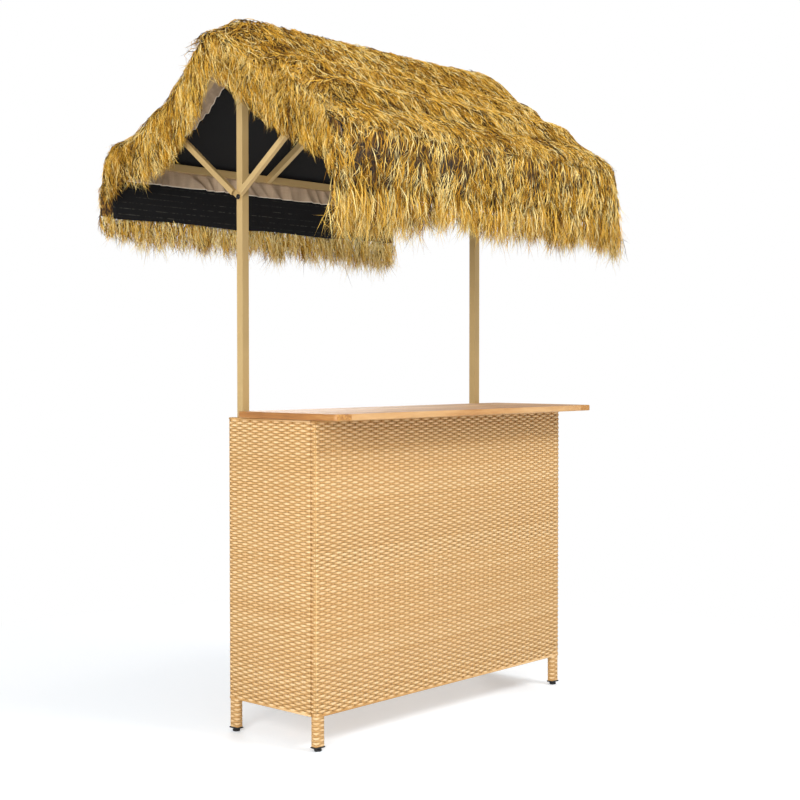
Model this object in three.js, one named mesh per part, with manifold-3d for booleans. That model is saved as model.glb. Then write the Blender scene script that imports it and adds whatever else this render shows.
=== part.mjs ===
// Tiki bar hut: a wicker cabinet with a slatted wooden counter, and a thatched gable canopy on two posts.
// Millimetres, +Z up. The customer's side is -Y. The origin is on the floor, below the middle of the ridge.

import * as THREE from 'three';
import { mergeVertices } from 'three/addons/utils/BufferGeometryUtils.js';
import Module from 'manifold-3d';

const wasm = await Module();
wasm.setup();

// Cabinet sizes
const cabinetWidth = 1262; // over both end panels
const cabinetDepth = 399; // front face to the back of the end panels
const ridgeSetback = 372; // ridge plane behind the cabinet's front face
const panelTop = 1013;
const panelBottom = 107; // lower edge of the wicker between the legs
const panelDepth = 25.6; // wicker, tube and wicker
const weaveWall = 3; // thickness of the woven skin
const legTubeWidth = 32; // the tube inside a leg, along its panel
const stileTubeWidth = 19; // the tubes that don't reach the floor
const tubeWall = 1.5;
const fit = 0.3; // gap between pieces that touch
const overrun = 10; // how far a cutting tool passes the surface that it cuts

// Feet
const footRise = 10; // underside of a leg above the floor
const capPlate = 4;
const capPlugHeight = 18;
const studRadius = 4;
const studSpare = 6; // thread left above a leg cap when its leveller is screwed out
const footRadius = 12;
const footRimHeight = 6;
const footBevel = 1.2;
const footNeckRadius = 8;
const levellerTravel = 12; // how far a leveller screws out

// Shelves
const shelfTops = [340, 690];
const shelfThickness = 22;
const shelfDeck = 5;
const shelfRim = 25;
const shelfBackSetback = 6; // behind edge of a shelf in front of the posts

// Counter
const counterFrontOverhang = 119;
const counterEndOverhang = 32;
const counterDepth = 441;
const counterThickness = 20;
const endBoardWidth = 65;
const boardGap = 4;
const boardCount = 6; // front board, back board and the slats between them
const boardChamfer = 2;
const endBoardCornerRadius = 12;
const padHeight = 3;
const padRadius = 9;
const padSetbacks = [120, 262]; // from the cabinet's front face
const battenWidth = 45;
const battenHeight = 18;
const battenInset = 60; // from an end panel to the batten beside it

// Canopy frame
const postWidth = 27;
const postInset = 25.6; // outer face of a post behind the outer face of the end panel
const postFootClearance = 27; // post foot above the end panel's lower edge
const ridgeTop = 2212;
const ridgeBeamHeight = 25;
const railSize = 25;
const ridgeRise = 320.5; // top of the ridge beam over the tops of the eave rails
const railReach = 528; // ridge plane to the middle of an eave rail
const beamOverhang = 92; // ridge beam and eave rails past the posts' outer faces
const rafterWidth = 20;
const rafterDepth = 22;
const strutPivotDrop = 169.5; // eave rail's top to the bolt of the struts
const strutAngle = 37.6; // degrees above level
const strutLength = 432; // bolt to upper end
const strutWidth = 18;
const strutDepth = 15;
const strutStart = 24; // bolt to the lower end of the tube
const tabThickness = 2;
const boltRadius = 3;
const boltHeadRadius = 8.5;
const boltHeadHeight = 5;
const boltNutReach = 8;

// Fabric
const coverOverhang = 17.6; // cover past the ends of the ridge beam
const coverWall = 2;
const valanceClearance = 8.5; // eave rail's outer face to the inside of a valance
const valanceDrop = 206.5; // eave rail's top to the lower edge of a valance
const liningDrop = 76.5; // eave rail's top to the lower edge of the lining
const liningWall = 2;
const liningEndInset = 18; // the lining stops short of the cover's end
const liningFoldDepth = 4.2;
const liningFoldPitch = 62;
const liningCorner = 34; // the lining's lower corners are rounded this far along and up

// Thatch
const thatchOverhang = 25; // thatch past the ends of the cover
const thatchHead = 10; // thickness where a tier starts
const thatchBody = 28; // thickness further down
const thatchRise = 80; // length over which it thickens
const thatchTip = 8;
const thatchTipTaper = 50;
const thatchStep = 8; // run of the ramp where a tier climbs onto the next
const toothPitch = 66; // from tuft to tuft
const toothDepth = 46;
const eaveFringeDrop = 299.5; // eave rail's top to the tips of the fringe
const eaveFringeWall = 27;
const eaveShoulder = 40; // where the eave tier starts to turn down
const ridgeCrown = 74; // top of the ridge cap over the cover
const ridgeSkirt = 150; // ridge cap down each slope
const endTaperLength = 190; // the thatch thins towards the gables over this length
const endTaperShare = 0.25;
const gableCurveDepth = 90; // how far the gable edges of cover and thatch curve in, between ridge and eave
const eaveCornerPull = 45; // how far the thatch's outer corners are drawn in where it turns over the eave
const railClearance = 5; // inner face of an eave rail to the place where the edges are out again
const gableFringeWall = 22;
const gableFringeHang = 205;
const gableFringeTip = 8;
const gableToothDepth = 34;

// Where each tier starts and ends, as shares of the slope from the ridge to the eave
const tierHeadShares = [0.04, 0.29, 0.56];
const tierTailShares = [0.5, 0.78];
// How far in the gable edges are at each of their bends from the ridge to the eave, as shares of the full inset
const edgeInsetShares = [0, 0.7, 1, 0.85, 0, 0];
// Where they turn out again towards the end of the eave rail, as a share of the slope
const edgeTurnShare = 0.83;
// How far the gaps between tufts reach down at most, and the tufts themselves at least
const shortTuftShare = 0.2;
const longTuftShare = 0.65;
// Sway of the lining's folds at half their height
const liningSwayShare = 0.35;
// Height of the ridge cap from its middle to its edge, as shares of its crown
const ridgeCrownShares = [1, 0.96, 0.87, 0.75, 0.62];
// Hang of the gable fringe at places down the slope, as shares of its full hang and of the slope
const gablePlaceShares = [0, 0.2, 0.4, 0.6, 0.8, 1];
const gableHangShares = [0.68, 0.95, 1.08, 1.04, 0.92, 0.88];

// Sizes worked out from those above
const halfWidth = cabinetWidth / 2;
const frontFace = -ridgeSetback;
const backFace = frontFace + cabinetDepth;
const studLength = capPlate + capPlugHeight + levellerTravel + studSpare;
const wrap = weaveWall + fit;
const tubeDepth = panelDepth - 2 * wrap;
const legBottom = footRise + capPlate + fit;
const legWidth = legTubeWidth + 2 * wrap;
const innerHalfWidth = halfWidth - panelDepth;
const postOuter = halfWidth - postInset;
const counterUnder = panelTop + padHeight + 2 * fit;
const counterFront = frontFace - counterFrontOverhang;
const counterHalfLength = halfWidth + counterEndOverhang;
const boardWidth = (counterDepth - (boardCount - 1) * boardGap) / boardCount;
const beamHalfLength = postOuter + beamOverhang;
const coverHalfLength = beamHalfLength + coverOverhang;
const thatchHalfLength = coverHalfLength + thatchOverhang;
const railTop = ridgeTop - ridgeRise;
const strutPivotHeight = railTop - strutPivotDrop;
const valanceBottom = railTop - valanceDrop;
const liningBottom = railTop - liningDrop;
const eaveFringeBottom = railTop - eaveFringeDrop;
const railOuter = railReach + railSize / 2;
const railInner = railReach - railSize / 2;
const ridgeHalf = postWidth / 2;
const coverPitch = Math.atan2(ridgeTop - railTop, railOuter - ridgeHalf);
const coverTan = Math.tan(coverPitch);
const coverRise = coverWall / Math.cos(coverPitch);
const valanceReach = railOuter + valanceClearance;
const coverOuterReach = valanceReach + coverWall;
const slopeLength = (coverOuterReach - ridgeHalf) / Math.cos(coverPitch);
const railPlaceShare = (railInner - railClearance - ridgeHalf) / (coverOuterReach - ridgeHalf);
const edgePlaceShares = [0, tierHeadShares[1], tierHeadShares[2], edgeTurnShare, railPlaceShare, 1];

// Materials
const wicker = { color: 0xd9b071, roughness: 0.5, metalness: 0 };
const champagne = { color: 0xd2b274, roughness: 0.4, metalness: 0.2 };
const acacia = { color: 0xb5793a, roughness: 0.55, metalness: 0 };
const blackPlastic = { color: 0x1b1b1b, roughness: 0.5, metalness: 0 };
const blackSteel = { color: 0x202020, roughness: 0.35, metalness: 0.6 };
const blackFabric = { color: 0x1f2022, roughness: 0.9, metalness: 0 };
const beigeFabric = { color: 0xa88d77, roughness: 0.85, metalness: 0 };
const raffia = { color: 0xc79a3c, roughness: 0.8, metalness: 0 };

// Solids

function toSolid(geometry) {
  geometry.deleteAttribute('normal');
  geometry.deleteAttribute('uv');
  const merged = mergeVertices(geometry);
  const vertProperties = new Float32Array(merged.attributes.position.array);
  const triVerts = new Uint32Array(merged.index.array);
  return new wasm.Manifold(new wasm.Mesh({ numProp: 3, vertProperties, triVerts }));
}

function toGeometry(solid) {
  const mesh = solid.getMesh();
  const points = [];
  for (let i = 0; i < mesh.numVert; i += 1) {
    points.push(...mesh.vertProperties.slice(i * mesh.numProp, i * mesh.numProp + 3));
  }
  const geometry = new THREE.BufferGeometry();
  geometry.setAttribute('position', new THREE.Float32BufferAttribute(points, 3));
  geometry.setIndex(Array.from(mesh.triVerts));
  geometry.computeVertexNormals();
  return geometry;
}

function join(solids) {
  return solids.reduce((sum, solid) => sum.add(solid));
}

// A box given by its lowest and highest corners
function box(low, high) {
  const size = low.map((value, axis) => high[axis] - value);
  const middle = low.map((value, axis) => (value + high[axis]) / 2);
  return new THREE.BoxGeometry(...size).translate(...middle);
}

function boxSolid(low, high) {
  return toSolid(box(low, high));
}

function cylinderAlong(axis, radius, low, high, at, sides) {
  const geometry = new THREE.CylinderGeometry(radius, radius, high - low, sides);
  if (axis === 'x') {
    geometry.rotateZ(Math.PI / 2);
    geometry.translate((low + high) / 2, at[0], at[1]);
  } else {
    geometry.rotateX(Math.PI / 2);
    geometry.translate(at[0], at[1], (low + high) / 2);
  }
  return toSolid(geometry);
}

// A section in Y and Z, drawn out along X
function alongX(section, low, high) {
  const shape = new THREE.Shape(section.map(([y, z]) => new THREE.Vector2(y, z)));
  const geometry = new THREE.ExtrudeGeometry(shape, { depth: high - low, bevelEnabled: false });
  const turn = new THREE.Matrix4().makeBasis(
    new THREE.Vector3(0, 1, 0),
    new THREE.Vector3(0, 0, 1),
    new THREE.Vector3(1, 0, 0),
  );
  return geometry.applyMatrix4(turn).translate(low, 0, 0);
}

function flatten(point) {
  return new THREE.Vector2(point.y, point.z);
}

// The faces that fill a loop, wound along it or against it. Points on a straight run keep their corners.
function endFaces(loop, along) {
  const backward = THREE.ShapeUtils.area(loop) < 0;
  const corners = loop.map(({ x, y }) => [x, y]);
  const faces = wasm.triangulate([backward ? corners.reverse() : corners]);
  return faces.map((face) => {
    const [a, b, c] = backward ? face.map((k) => loop.length - 1 - k) : face;
    return backward === along ? [a, c, b] : [a, b, c];
  });
}

// A closed skin through rings of points, each ring a closed loop, with both ends filled.
// Each four-sided face is split from its point nearest the ridge, so that stacked skins fold alike.
function loft(rings, flatten) {
  const count = rings[0].length;
  const faces = [];
  for (let r = 0; r < rings.length - 1; r += 1) {
    for (let k = 0; k < count; k += 1) {
      const next = (k + 1) % count;
      const [a, b] = [r * count + k, r * count + next];
      if (Math.abs(rings[r][k].y) <= Math.abs(rings[r][next].y)) {
        faces.push([a, b, b + count], [a, b + count, a + count]);
      } else {
        faces.push([a, b, a + count], [b, b + count, a + count]);
      }
    }
  }
  const last = (rings.length - 1) * count;
  faces.push(...endFaces(rings[0].map(flatten), false));
  faces.push(...endFaces(rings.at(-1).map(flatten), true).map((face) => face.map((k) => last + k)));
  const points = rings.flat();
  const volume = faces.reduce((sum, [a, b, c]) => {
    const cross = new THREE.Vector3().crossVectors(points[b], points[c]);
    return sum + points[a].dot(cross);
  }, 0);
  const outward = volume > 0 ? faces : faces.map(([a, b, c]) => [a, c, b]);
  const geometry = new THREE.BufferGeometry().setFromPoints(points);
  geometry.setIndex(outward.flat());
  geometry.computeVertexNormals();
  return geometry;
}

// The value at a place, in straight runs between the places given
function between(places, values, at) {
  const next = places.findIndex((place) => place > at);
  if (next <= 0) {
    return next === 0 ? values[0] : values.at(-1);
  }
  const part = (at - places[next - 1]) / (places[next] - places[next - 1]);
  return values[next - 1] * (1 - part) + values[next] * part;
}

const hut = new THREE.Group();

function piece(name, geometry, finish, parent = hut) {
  const mesh = new THREE.Mesh(geometry, new THREE.MeshStandardMaterial(finish));
  mesh.name = name;
  parent.add(mesh);
  return mesh;
}

// Wicker panels. A panel is drawn with its outer face at y = 0 and its length along +X.

// The tubes of a panel's frame, each as low and high corners, and whether it stands on the floor
function panelTubes(width, legAtStart, legAtEnd, middleStiles) {
  const near = wrap;
  const far = wrap + tubeDepth;
  const top = panelTop - wrap;
  const bottom = panelBottom + wrap;
  const startWidth = legAtStart ? legTubeWidth : stileTubeWidth;
  const endWidth = legAtEnd ? legTubeWidth : stileTubeWidth;
  const tubes = [
    {
      low: [wrap, near, legAtStart ? legBottom : bottom],
      high: [wrap + startWidth, far, top],
      leg: legAtStart,
    },
    {
      low: [width - wrap - endWidth, near, legAtEnd ? legBottom : bottom],
      high: [width - wrap, far, top],
      leg: legAtEnd,
    },
  ];
  for (const low of [bottom, top - stileTubeWidth]) {
    tubes.push({ low: [wrap, near, low], high: [width - wrap, far, low + stileTubeWidth], rail: true });
  }
  for (let k = 1; k <= middleStiles; k += 1) {
    const middle = (width * k) / (middleStiles + 1);
    const [left, right] = [middle - stileTubeWidth / 2, middle + stileTubeWidth / 2];
    tubes.push({ low: [left, near, bottom], high: [right, far, top], bare: true });
  }
  return tubes;
}

function grown(tube, by, legReach) {
  const low = tube.low.map((value) => value - by);
  const high = tube.high.map((value) => value + by);
  if (tube.leg) {
    low[2] = tube.low[2] - legReach;
  }
  return boxSolid(low, high);
}

function panelFrame(tubes) {
  const outside = join(tubes.map((tube) => grown(tube, 0, 0)));
  const bores = join(tubes.map((tube) => grown(tube, -tubeWall, overrun)));
  return toGeometry(outside.subtract(bores));
}

function panelWeave(width, tubes) {
  const face = boxSolid([0, 0, panelBottom], [width, weaveWall, panelTop]);
  const sleeves = tubes.filter((tube) => !tube.bare).map((tube) => grown(tube, wrap, 0));
  const room = join(tubes.map((tube) => grown(tube, fit, overrun)));
  return toGeometry(join([face, ...sleeves]).subtract(room));
}

function addPanel(name, width, place, turn, legAtStart, legAtEnd, middleStiles) {
  const tubes = panelTubes(width, legAtStart, legAtEnd, middleStiles);
  const group = new THREE.Group();
  group.position.set(...place);
  group.rotation.z = turn;
  hut.add(group);
  piece(`${name}_frame`, panelFrame(tubes), champagne, group);
  piece(`${name}_weave`, panelWeave(width, tubes), wicker, group);
}

const quarter = Math.PI / 2;
const endPanelFront = frontFace + panelDepth + fit;
const endPanelWidth = backFace - endPanelFront;
addPanel('front_panel', cabinetWidth, [-halfWidth, frontFace, 0], 0, true, true, 2);
addPanel('left_panel', endPanelWidth, [-halfWidth, backFace, 0], -quarter, true, false, 0);
addPanel('right_panel', endPanelWidth, [halfWidth, endPanelFront, 0], quarter, false, true, 0);

// Feet: a cap plugged into each leg, and a leveller screwed through it

function capGeometry() {
  const [plateX, plateY] = [legWidth / 2, panelDepth / 2];
  const plate = boxSolid([-plateX, -plateY, footRise], [plateX, plateY, footRise + capPlate]);
  const plugX = legTubeWidth / 2 - tubeWall - fit;
  const plugY = tubeDepth / 2 - tubeWall - fit;
  const plugTop = footRise + capPlate + capPlugHeight;
  const plug = boxSolid([-plugX, -plugY, footRise], [plugX, plugY, plugTop]);
  const bore = cylinderAlong('z', studRadius + fit, footRise - overrun, plugTop + overrun, [0, 0], 16);
  return toGeometry(plate.add(plug).subtract(bore));
}

function levellerGeometry() {
  const top = footRise - fit;
  const profile = [
    [0, 0],
    [footRadius - footBevel, 0],
    [footRadius, footBevel],
    [footRadius, footRimHeight],
    [footNeckRadius, top],
    [studRadius, top],
    [studRadius, top + studLength - footBevel],
    [studRadius - footBevel, top + studLength],
    [0, top + studLength],
  ].map(([radius, height]) => new THREE.Vector2(radius, height));
  const lathe = new THREE.LatheGeometry(profile, 24).rotateX(quarter);
  return toGeometry(toSolid(lathe));
}

const legs = [
  { name: 'front_left', at: [-halfWidth + legWidth / 2, frontFace + panelDepth / 2, 0], turn: 0 },
  { name: 'front_right', at: [halfWidth - legWidth / 2, frontFace + panelDepth / 2, 0], turn: 0 },
  { name: 'back_left', at: [-halfWidth + panelDepth / 2, backFace - legWidth / 2, 0], turn: quarter },
  { name: 'back_right', at: [halfWidth - panelDepth / 2, backFace - legWidth / 2, 0], turn: quarter },
];
for (const leg of legs) {
  const group = new THREE.Group();
  group.position.set(...leg.at);
  group.rotation.z = leg.turn;
  hut.add(group);
  piece(`foot_cap_${leg.name}`, capGeometry(), blackPlastic, group);
  piece(`leveller_${leg.name}`, levellerGeometry(), blackPlastic, group);
}

// Shelves: a woven deck on a rim with two ribs below it

function shelfGeometry(top) {
  const low = [-innerHalfWidth + fit, frontFace + panelDepth + fit, top - shelfThickness];
  const high = [innerHalfWidth - fit, -postWidth / 2 - shelfBackSetback, top];
  const bays = 3;
  const pitch = (high[0] - low[0] - shelfRim) / bays;
  const recesses = [];
  for (let k = 0; k < bays; k += 1) {
    const start = low[0] + shelfRim + k * pitch;
    recesses.push(boxSolid(
      [start, low[1] + shelfRim, low[2] - overrun],
      [start + pitch - shelfRim, high[1] - shelfRim, top - shelfDeck],
    ));
  }
  return toGeometry(boxSolid(low, high).subtract(join(recesses)));
}

piece('lower_shelf', shelfGeometry(shelfTops[0]), wicker);
piece('upper_shelf', shelfGeometry(shelfTops[1]), wicker);

// Counter

// A board's section across its length, with its long edges eased
function boardSection(low, width, under, thickness) {
  const [high, top] = [low + width, under + thickness];
  return [
    [low + boardChamfer, under],
    [high - boardChamfer, under],
    [high, under + boardChamfer],
    [high, top - boardChamfer],
    [high - boardChamfer, top],
    [low + boardChamfer, top],
    [low, top - boardChamfer],
    [low, under + boardChamfer],
  ];
}

function endBoardGeometry() {
  const shape = new THREE.Shape();
  const inner = endBoardWidth - boardChamfer;
  const length = counterDepth - 2 * boardChamfer;
  const radius = endBoardCornerRadius;
  shape.moveTo(inner, 0);
  shape.lineTo(inner, length);
  shape.lineTo(radius + boardChamfer, length);
  shape.absarc(radius + boardChamfer, length - radius, radius, quarter, 2 * quarter);
  shape.lineTo(boardChamfer, radius);
  shape.absarc(radius + boardChamfer, radius, radius, 2 * quarter, 3 * quarter);
  const geometry = new THREE.ExtrudeGeometry(shape, {
    depth: counterThickness - 2 * boardChamfer,
    bevelSize: boardChamfer,
    bevelThickness: boardChamfer,
    bevelSegments: 1,
    curveSegments: 4,
  });
  return geometry.translate(0, boardChamfer, boardChamfer);
}

const leftBoard = piece('counter_left_end_board', endBoardGeometry(), acacia);
leftBoard.position.set(-counterHalfLength, counterFront, counterUnder);
const rightBoard = piece('counter_right_end_board', endBoardGeometry(), acacia);
rightBoard.rotation.z = 2 * quarter;
rightBoard.position.set(counterHalfLength, counterFront + counterDepth, counterUnder);

const boardHalfLength = counterHalfLength - endBoardWidth - fit;
for (let k = 0; k < boardCount; k += 1) {
  const front = counterFront + k * (boardWidth + boardGap);
  const section = boardSection(front, boardWidth, counterUnder, counterThickness);
  const isEdge = k === 0 || k === boardCount - 1;
  const edgeName = k === 0 ? 'counter_front_board' : 'counter_back_board';
  piece(isEdge ? edgeName : `counter_slat_${k}`, alongX(section, -boardHalfLength, boardHalfLength), acacia);
}

const battenTop = counterUnder - fit;
const battenFront = frontFace + panelDepth + fit;
const battenBack = counterFront + counterDepth - boardChamfer;
const battenReach = innerHalfWidth - battenInset - battenWidth / 2;
for (const [name, middle] of [['left', -battenReach], ['middle', 0], ['right', battenReach]]) {
  const low = [middle - battenWidth / 2, battenFront, battenTop - battenHeight];
  const high = [middle + battenWidth / 2, battenBack, battenTop];
  piece(`counter_batten_${name}`, box(low, high), acacia);
}

for (const [sideName, side] of [['left', -1], ['right', 1]]) {
  for (const [placeName, setback] of [['front', padSetbacks[0]], ['back', padSetbacks[1]]]) {
    const at = [side * (halfWidth - panelDepth / 2), frontFace + setback];
    const low = panelTop + fit;
    const pad = cylinderAlong('z', padRadius, low, low + padHeight, at, 16);
    piece(`spacer_${placeName}_${sideName}`, toGeometry(pad), blackPlastic);
  }
}

// Posts, ridge beam and eave rails

const postFoot = panelBottom + postFootClearance;
const postTop = ridgeTop - ridgeBeamHeight - fit;

function postGeometry() {
  const half = postWidth / 2;
  const bore = half - tubeWall;
  const outside = boxSolid([-half, -half, postFoot], [half, half, postTop]);
  const inside = boxSolid([-bore, -bore, postFoot - overrun], [bore, bore, postTop + overrun]);
  const reach = half + overrun;
  const hole = cylinderAlong('x', boltRadius + fit, -reach, reach, [0, strutPivotHeight], 16);
  return toGeometry(outside.subtract(inside).subtract(hole));
}

for (const [name, side] of [['left', -1], ['right', 1]]) {
  piece(`post_${name}`, postGeometry(), champagne).position.set(side * (postOuter - postWidth / 2), 0, 0);
}

function tubeAlongX(width, height, top, halfLength) {
  const outside = boxSolid([-halfLength, -width / 2, top - height], [halfLength, width / 2, top]);
  const inside = boxSolid(
    [-halfLength - overrun, tubeWall - width / 2, top - height + tubeWall],
    [halfLength + overrun, width / 2 - tubeWall, top - tubeWall],
  );
  return toGeometry(outside.subtract(inside));
}

piece('ridge_beam', tubeAlongX(postWidth, ridgeBeamHeight, ridgeTop, beamHalfLength), champagne);
for (const [name, side] of [['front', -1], ['back', 1]]) {
  const rail = tubeAlongX(railSize, railSize, railTop, beamHalfLength);
  piece(`eave_rail_${name}`, rail, champagne).position.y = side * railReach;
}

// Rafters, cut upright where they meet the ridge beam and the eave rails

const rafterTan = (ridgeTop - railTop) / (railInner - ridgeHalf);
const rafterDrop = rafterDepth * Math.hypot(1, rafterTan);

function rafterSection(start, end, below, above) {
  const top = (y) => ridgeTop - (y - ridgeHalf) * rafterTan;
  return [
    [start, top(start) - below],
    [end, top(end) - below],
    [end, top(end) - above],
    [start, top(start) - above],
  ];
}

function rafterGeometry() {
  const wallDrop = (tubeWall * rafterDrop) / rafterDepth;
  const outside = rafterSection(ridgeHalf + fit, railInner - fit, rafterDrop, 0);
  const inside = rafterSection(ridgeHalf - overrun, railInner + overrun, rafterDrop - wallDrop, wallDrop);
  const half = rafterWidth / 2;
  const body = toSolid(alongX(outside, -half, half));
  return toGeometry(body.subtract(toSolid(alongX(inside, tubeWall - half, half - tubeWall))));
}

const rafterReach = postOuter - rafterWidth / 2;
for (const [placeName, place] of [['left', -rafterReach], ['middle', 0], ['right', rafterReach]]) {
  for (const [sideName, turn] of [['front', 2 * quarter], ['back', 0]]) {
    const rafter = piece(`rafter_${sideName}_${placeName}`, rafterGeometry(), champagne);
    rafter.rotation.z = turn;
    rafter.position.x = place;
  }
}

// Struts. A strut is drawn standing on its bolt, with its inner face at x = 0 and its depth towards -X.

function strutGeometry(layer) {
  const half = strutWidth / 2;
  const tube = boxSolid([-strutDepth, -half, strutStart], [0, half, strutLength]);
  const bore = boxSolid(
    [tubeWall - strutDepth, tubeWall - half, strutStart - overrun],
    [-tubeWall, half - tubeWall, strutLength + overrun],
  );
  const far = -layer * (tabThickness + fit) - tabThickness;
  const near = far + tabThickness;
  const tab = boxSolid([far, -half, 0], [near, half, strutStart + strutWidth]);
  const eye = cylinderAlong('x', half, far, near, [0, 0], 16);
  const hole = cylinderAlong('x', boltRadius + fit, far - overrun, overrun, [0, 0], 16);
  return toGeometry(join([tube.subtract(bore), tab, eye]).subtract(hole));
}

const strutTilt = quarter - THREE.MathUtils.degToRad(strutAngle);
const strutPlane = postOuter + fit;
for (const [sideName, turn] of [['left', 0], ['right', 2 * quarter]]) {
  const group = new THREE.Group();
  group.rotation.z = turn;
  hut.add(group);
  const frontward = turn === 0 ? 'front' : 'back';
  const backward = turn === 0 ? 'back' : 'front';
  for (const [name, tilt, layer] of [[frontward, strutTilt, 0], [backward, -strutTilt, 1]]) {
    const strut = piece(`strut_${name}_${sideName}`, strutGeometry(layer), champagne, group);
    strut.rotation.x = tilt;
    strut.position.set(-strutPlane, 0, strutPivotHeight);
  }
}

// The bolt through both strut tabs and the post, with its domed head outside
function boltGeometry() {
  const headBase = strutPlane + 2 * (tabThickness + fit);
  const shankEnd = postOuter - postWidth - boltNutReach;
  const profile = [
    [0, shankEnd],
    [boltRadius, shankEnd],
    [boltRadius, headBase],
    [boltHeadRadius, headBase],
    [boltHeadRadius, headBase + boltHeadHeight / 2],
    [boltHeadRadius / 2, headBase + boltHeadHeight],
    [0, headBase + boltHeadHeight],
  ].map(([radius, height]) => new THREE.Vector2(radius, height));
  const lathe = new THREE.LatheGeometry(profile, 16).rotateZ(quarter);
  return toGeometry(toSolid(lathe)).translate(0, 0, strutPivotHeight);
}

piece('strut_bolt_left', boltGeometry(), blackSteel);
piece('strut_bolt_right', boltGeometry(), blackSteel).rotation.z = 2 * quarter;

// Fabric cover: both slopes in one sheet, with a valance hanging at each eave.
// Its gable edges are held at the ridge and the eaves, and pulled in between them.

function edgeInset(down) {
  return gableCurveDepth * between(edgePlaceShares, edgeInsetShares, down / slopeLength);
}

function reachAt(down) {
  return ridgeHalf + down * Math.cos(coverPitch);
}

function coverGeometry() {
  const inner = (y) => ridgeTop + fit - (y - ridgeHalf) * coverTan;
  const bends = edgePlaceShares.slice(0, -1).map((share) => share * slopeLength);
  const half = [
    ...bends.map((down) => [reachAt(down), inner(reachAt(down)), down]),
    [valanceReach, inner(valanceReach), slopeLength],
    [valanceReach, valanceBottom, slopeLength],
    [coverOuterReach, valanceBottom, slopeLength],
    [coverOuterReach, inner(coverOuterReach) + coverRise, slopeLength],
    ...bends.map((down) => [reachAt(down), inner(reachAt(down)) + coverRise, down]).reverse(),
  ];
  const mirrored = half.map(([y, z, down]) => [-y, z, down]).reverse();
  const rings = [-1, 1].map((end) => [...half, ...mirrored].map(([y, z, down]) => (
    new THREE.Vector3(end * (coverHalfLength - edgeInset(down)), y, z)
  )));
  return loft(rings, flatten);
}

piece('roof_cover', coverGeometry(), blackFabric);

// Lining: a gathered flap sewn inside each valance, behind the eave rail, with rounded lower corners

function liningGeometry(side) {
  const halfLength = coverHalfLength - liningEndInset;
  const folds = Math.round((2 * halfLength) / liningFoldPitch);
  const stations = folds * 2;
  const top = ridgeTop - (valanceReach - ridgeHalf) * coverTan - fit;
  const seat = valanceReach - fit;
  const rings = [];
  for (let k = 0; k <= stations; k += 1) {
    const x = -halfLength + (2 * halfLength * k) / stations;
    const fromEnd = Math.min(halfLength - Math.abs(x), liningCorner);
    const lift = liningCorner * (1 - Math.sin((fromEnd / liningCorner) * quarter));
    const low = liningBottom + lift;
    const sway = k % 2 === 0 ? 0 : liningFoldDepth;
    const ring = [
      [seat - liningWall, top],
      [seat, top],
      [seat - sway * liningSwayShare, (top + low) / 2],
      [seat - sway, low],
      [seat - sway - liningWall, low],
      [seat - sway * liningSwayShare - liningWall, (top + low) / 2],
    ];
    rings.push(ring.map(([y, z]) => new THREE.Vector3(x, side * y, z)));
  }
  return loft(rings, (point) => new THREE.Vector2(point.y, point.z));
}

piece('roof_lining_front', liningGeometry(-1), beigeFabric);
piece('roof_lining_back', liningGeometry(1), beigeFabric);

// Thatch. A tier's section is drawn by distance down the slope and height over the cover.

function bed(down, over) {
  const reach = ridgeHalf + down * Math.cos(coverPitch) + over * Math.sin(coverPitch);
  const height = ridgeTop + fit + coverRise - down * Math.sin(coverPitch) + over * Math.cos(coverPitch);
  return [reach, height];
}

// A tier's own thickness at a distance below its head
function thickness(below) {
  const share = THREE.MathUtils.clamp(below / thatchRise, 0, 1);
  return thatchHead + (thatchBody - thatchHead) * share;
}

// An even but irregular share from 0 to 1 for each tuft
function raggedShare(k) {
  const mixed = Math.sin(k * 12.9898 + 4.1) * 43758.5453;
  return mixed - Math.floor(mixed);
}

// Tufts: every other station reaches down, by an uneven amount
function tuftShare(k) {
  const uneven = raggedShare(k);
  return k % 2 === 0 ? shortTuftShare * uneven : longTuftShare + (1 - longTuftShare) * uneven;
}

function thinning(x) {
  const fromEnd = (thatchHalfLength - Math.abs(x)) / endTaperLength;
  const share = Math.sin(THREE.MathUtils.clamp(fromEnd, 0, 1) * quarter);
  return endTaperShare + (1 - endTaperShare) * share;
}

function thatchStations() {
  const tufts = Math.round(thatchHalfLength / toothPitch) * 2;
  const count = tufts * 2;
  const places = [];
  for (let k = 0; k <= count; k += 1) {
    places.push([k, -thatchHalfLength + (2 * thatchHalfLength * k) / count]);
  }
  return places;
}

// A point of the thatch, drawn in towards the gables by as much as it is at the end
function thatchPoint(x, pull, y, z) {
  const fromEnd = (thatchHalfLength - Math.abs(x)) / endTaperLength;
  const drawn = pull * THREE.MathUtils.clamp(1 - fromEnd, 0, 1);
  return new THREE.Vector3(x - Math.sign(x) * drawn, y, z);
}

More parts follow.
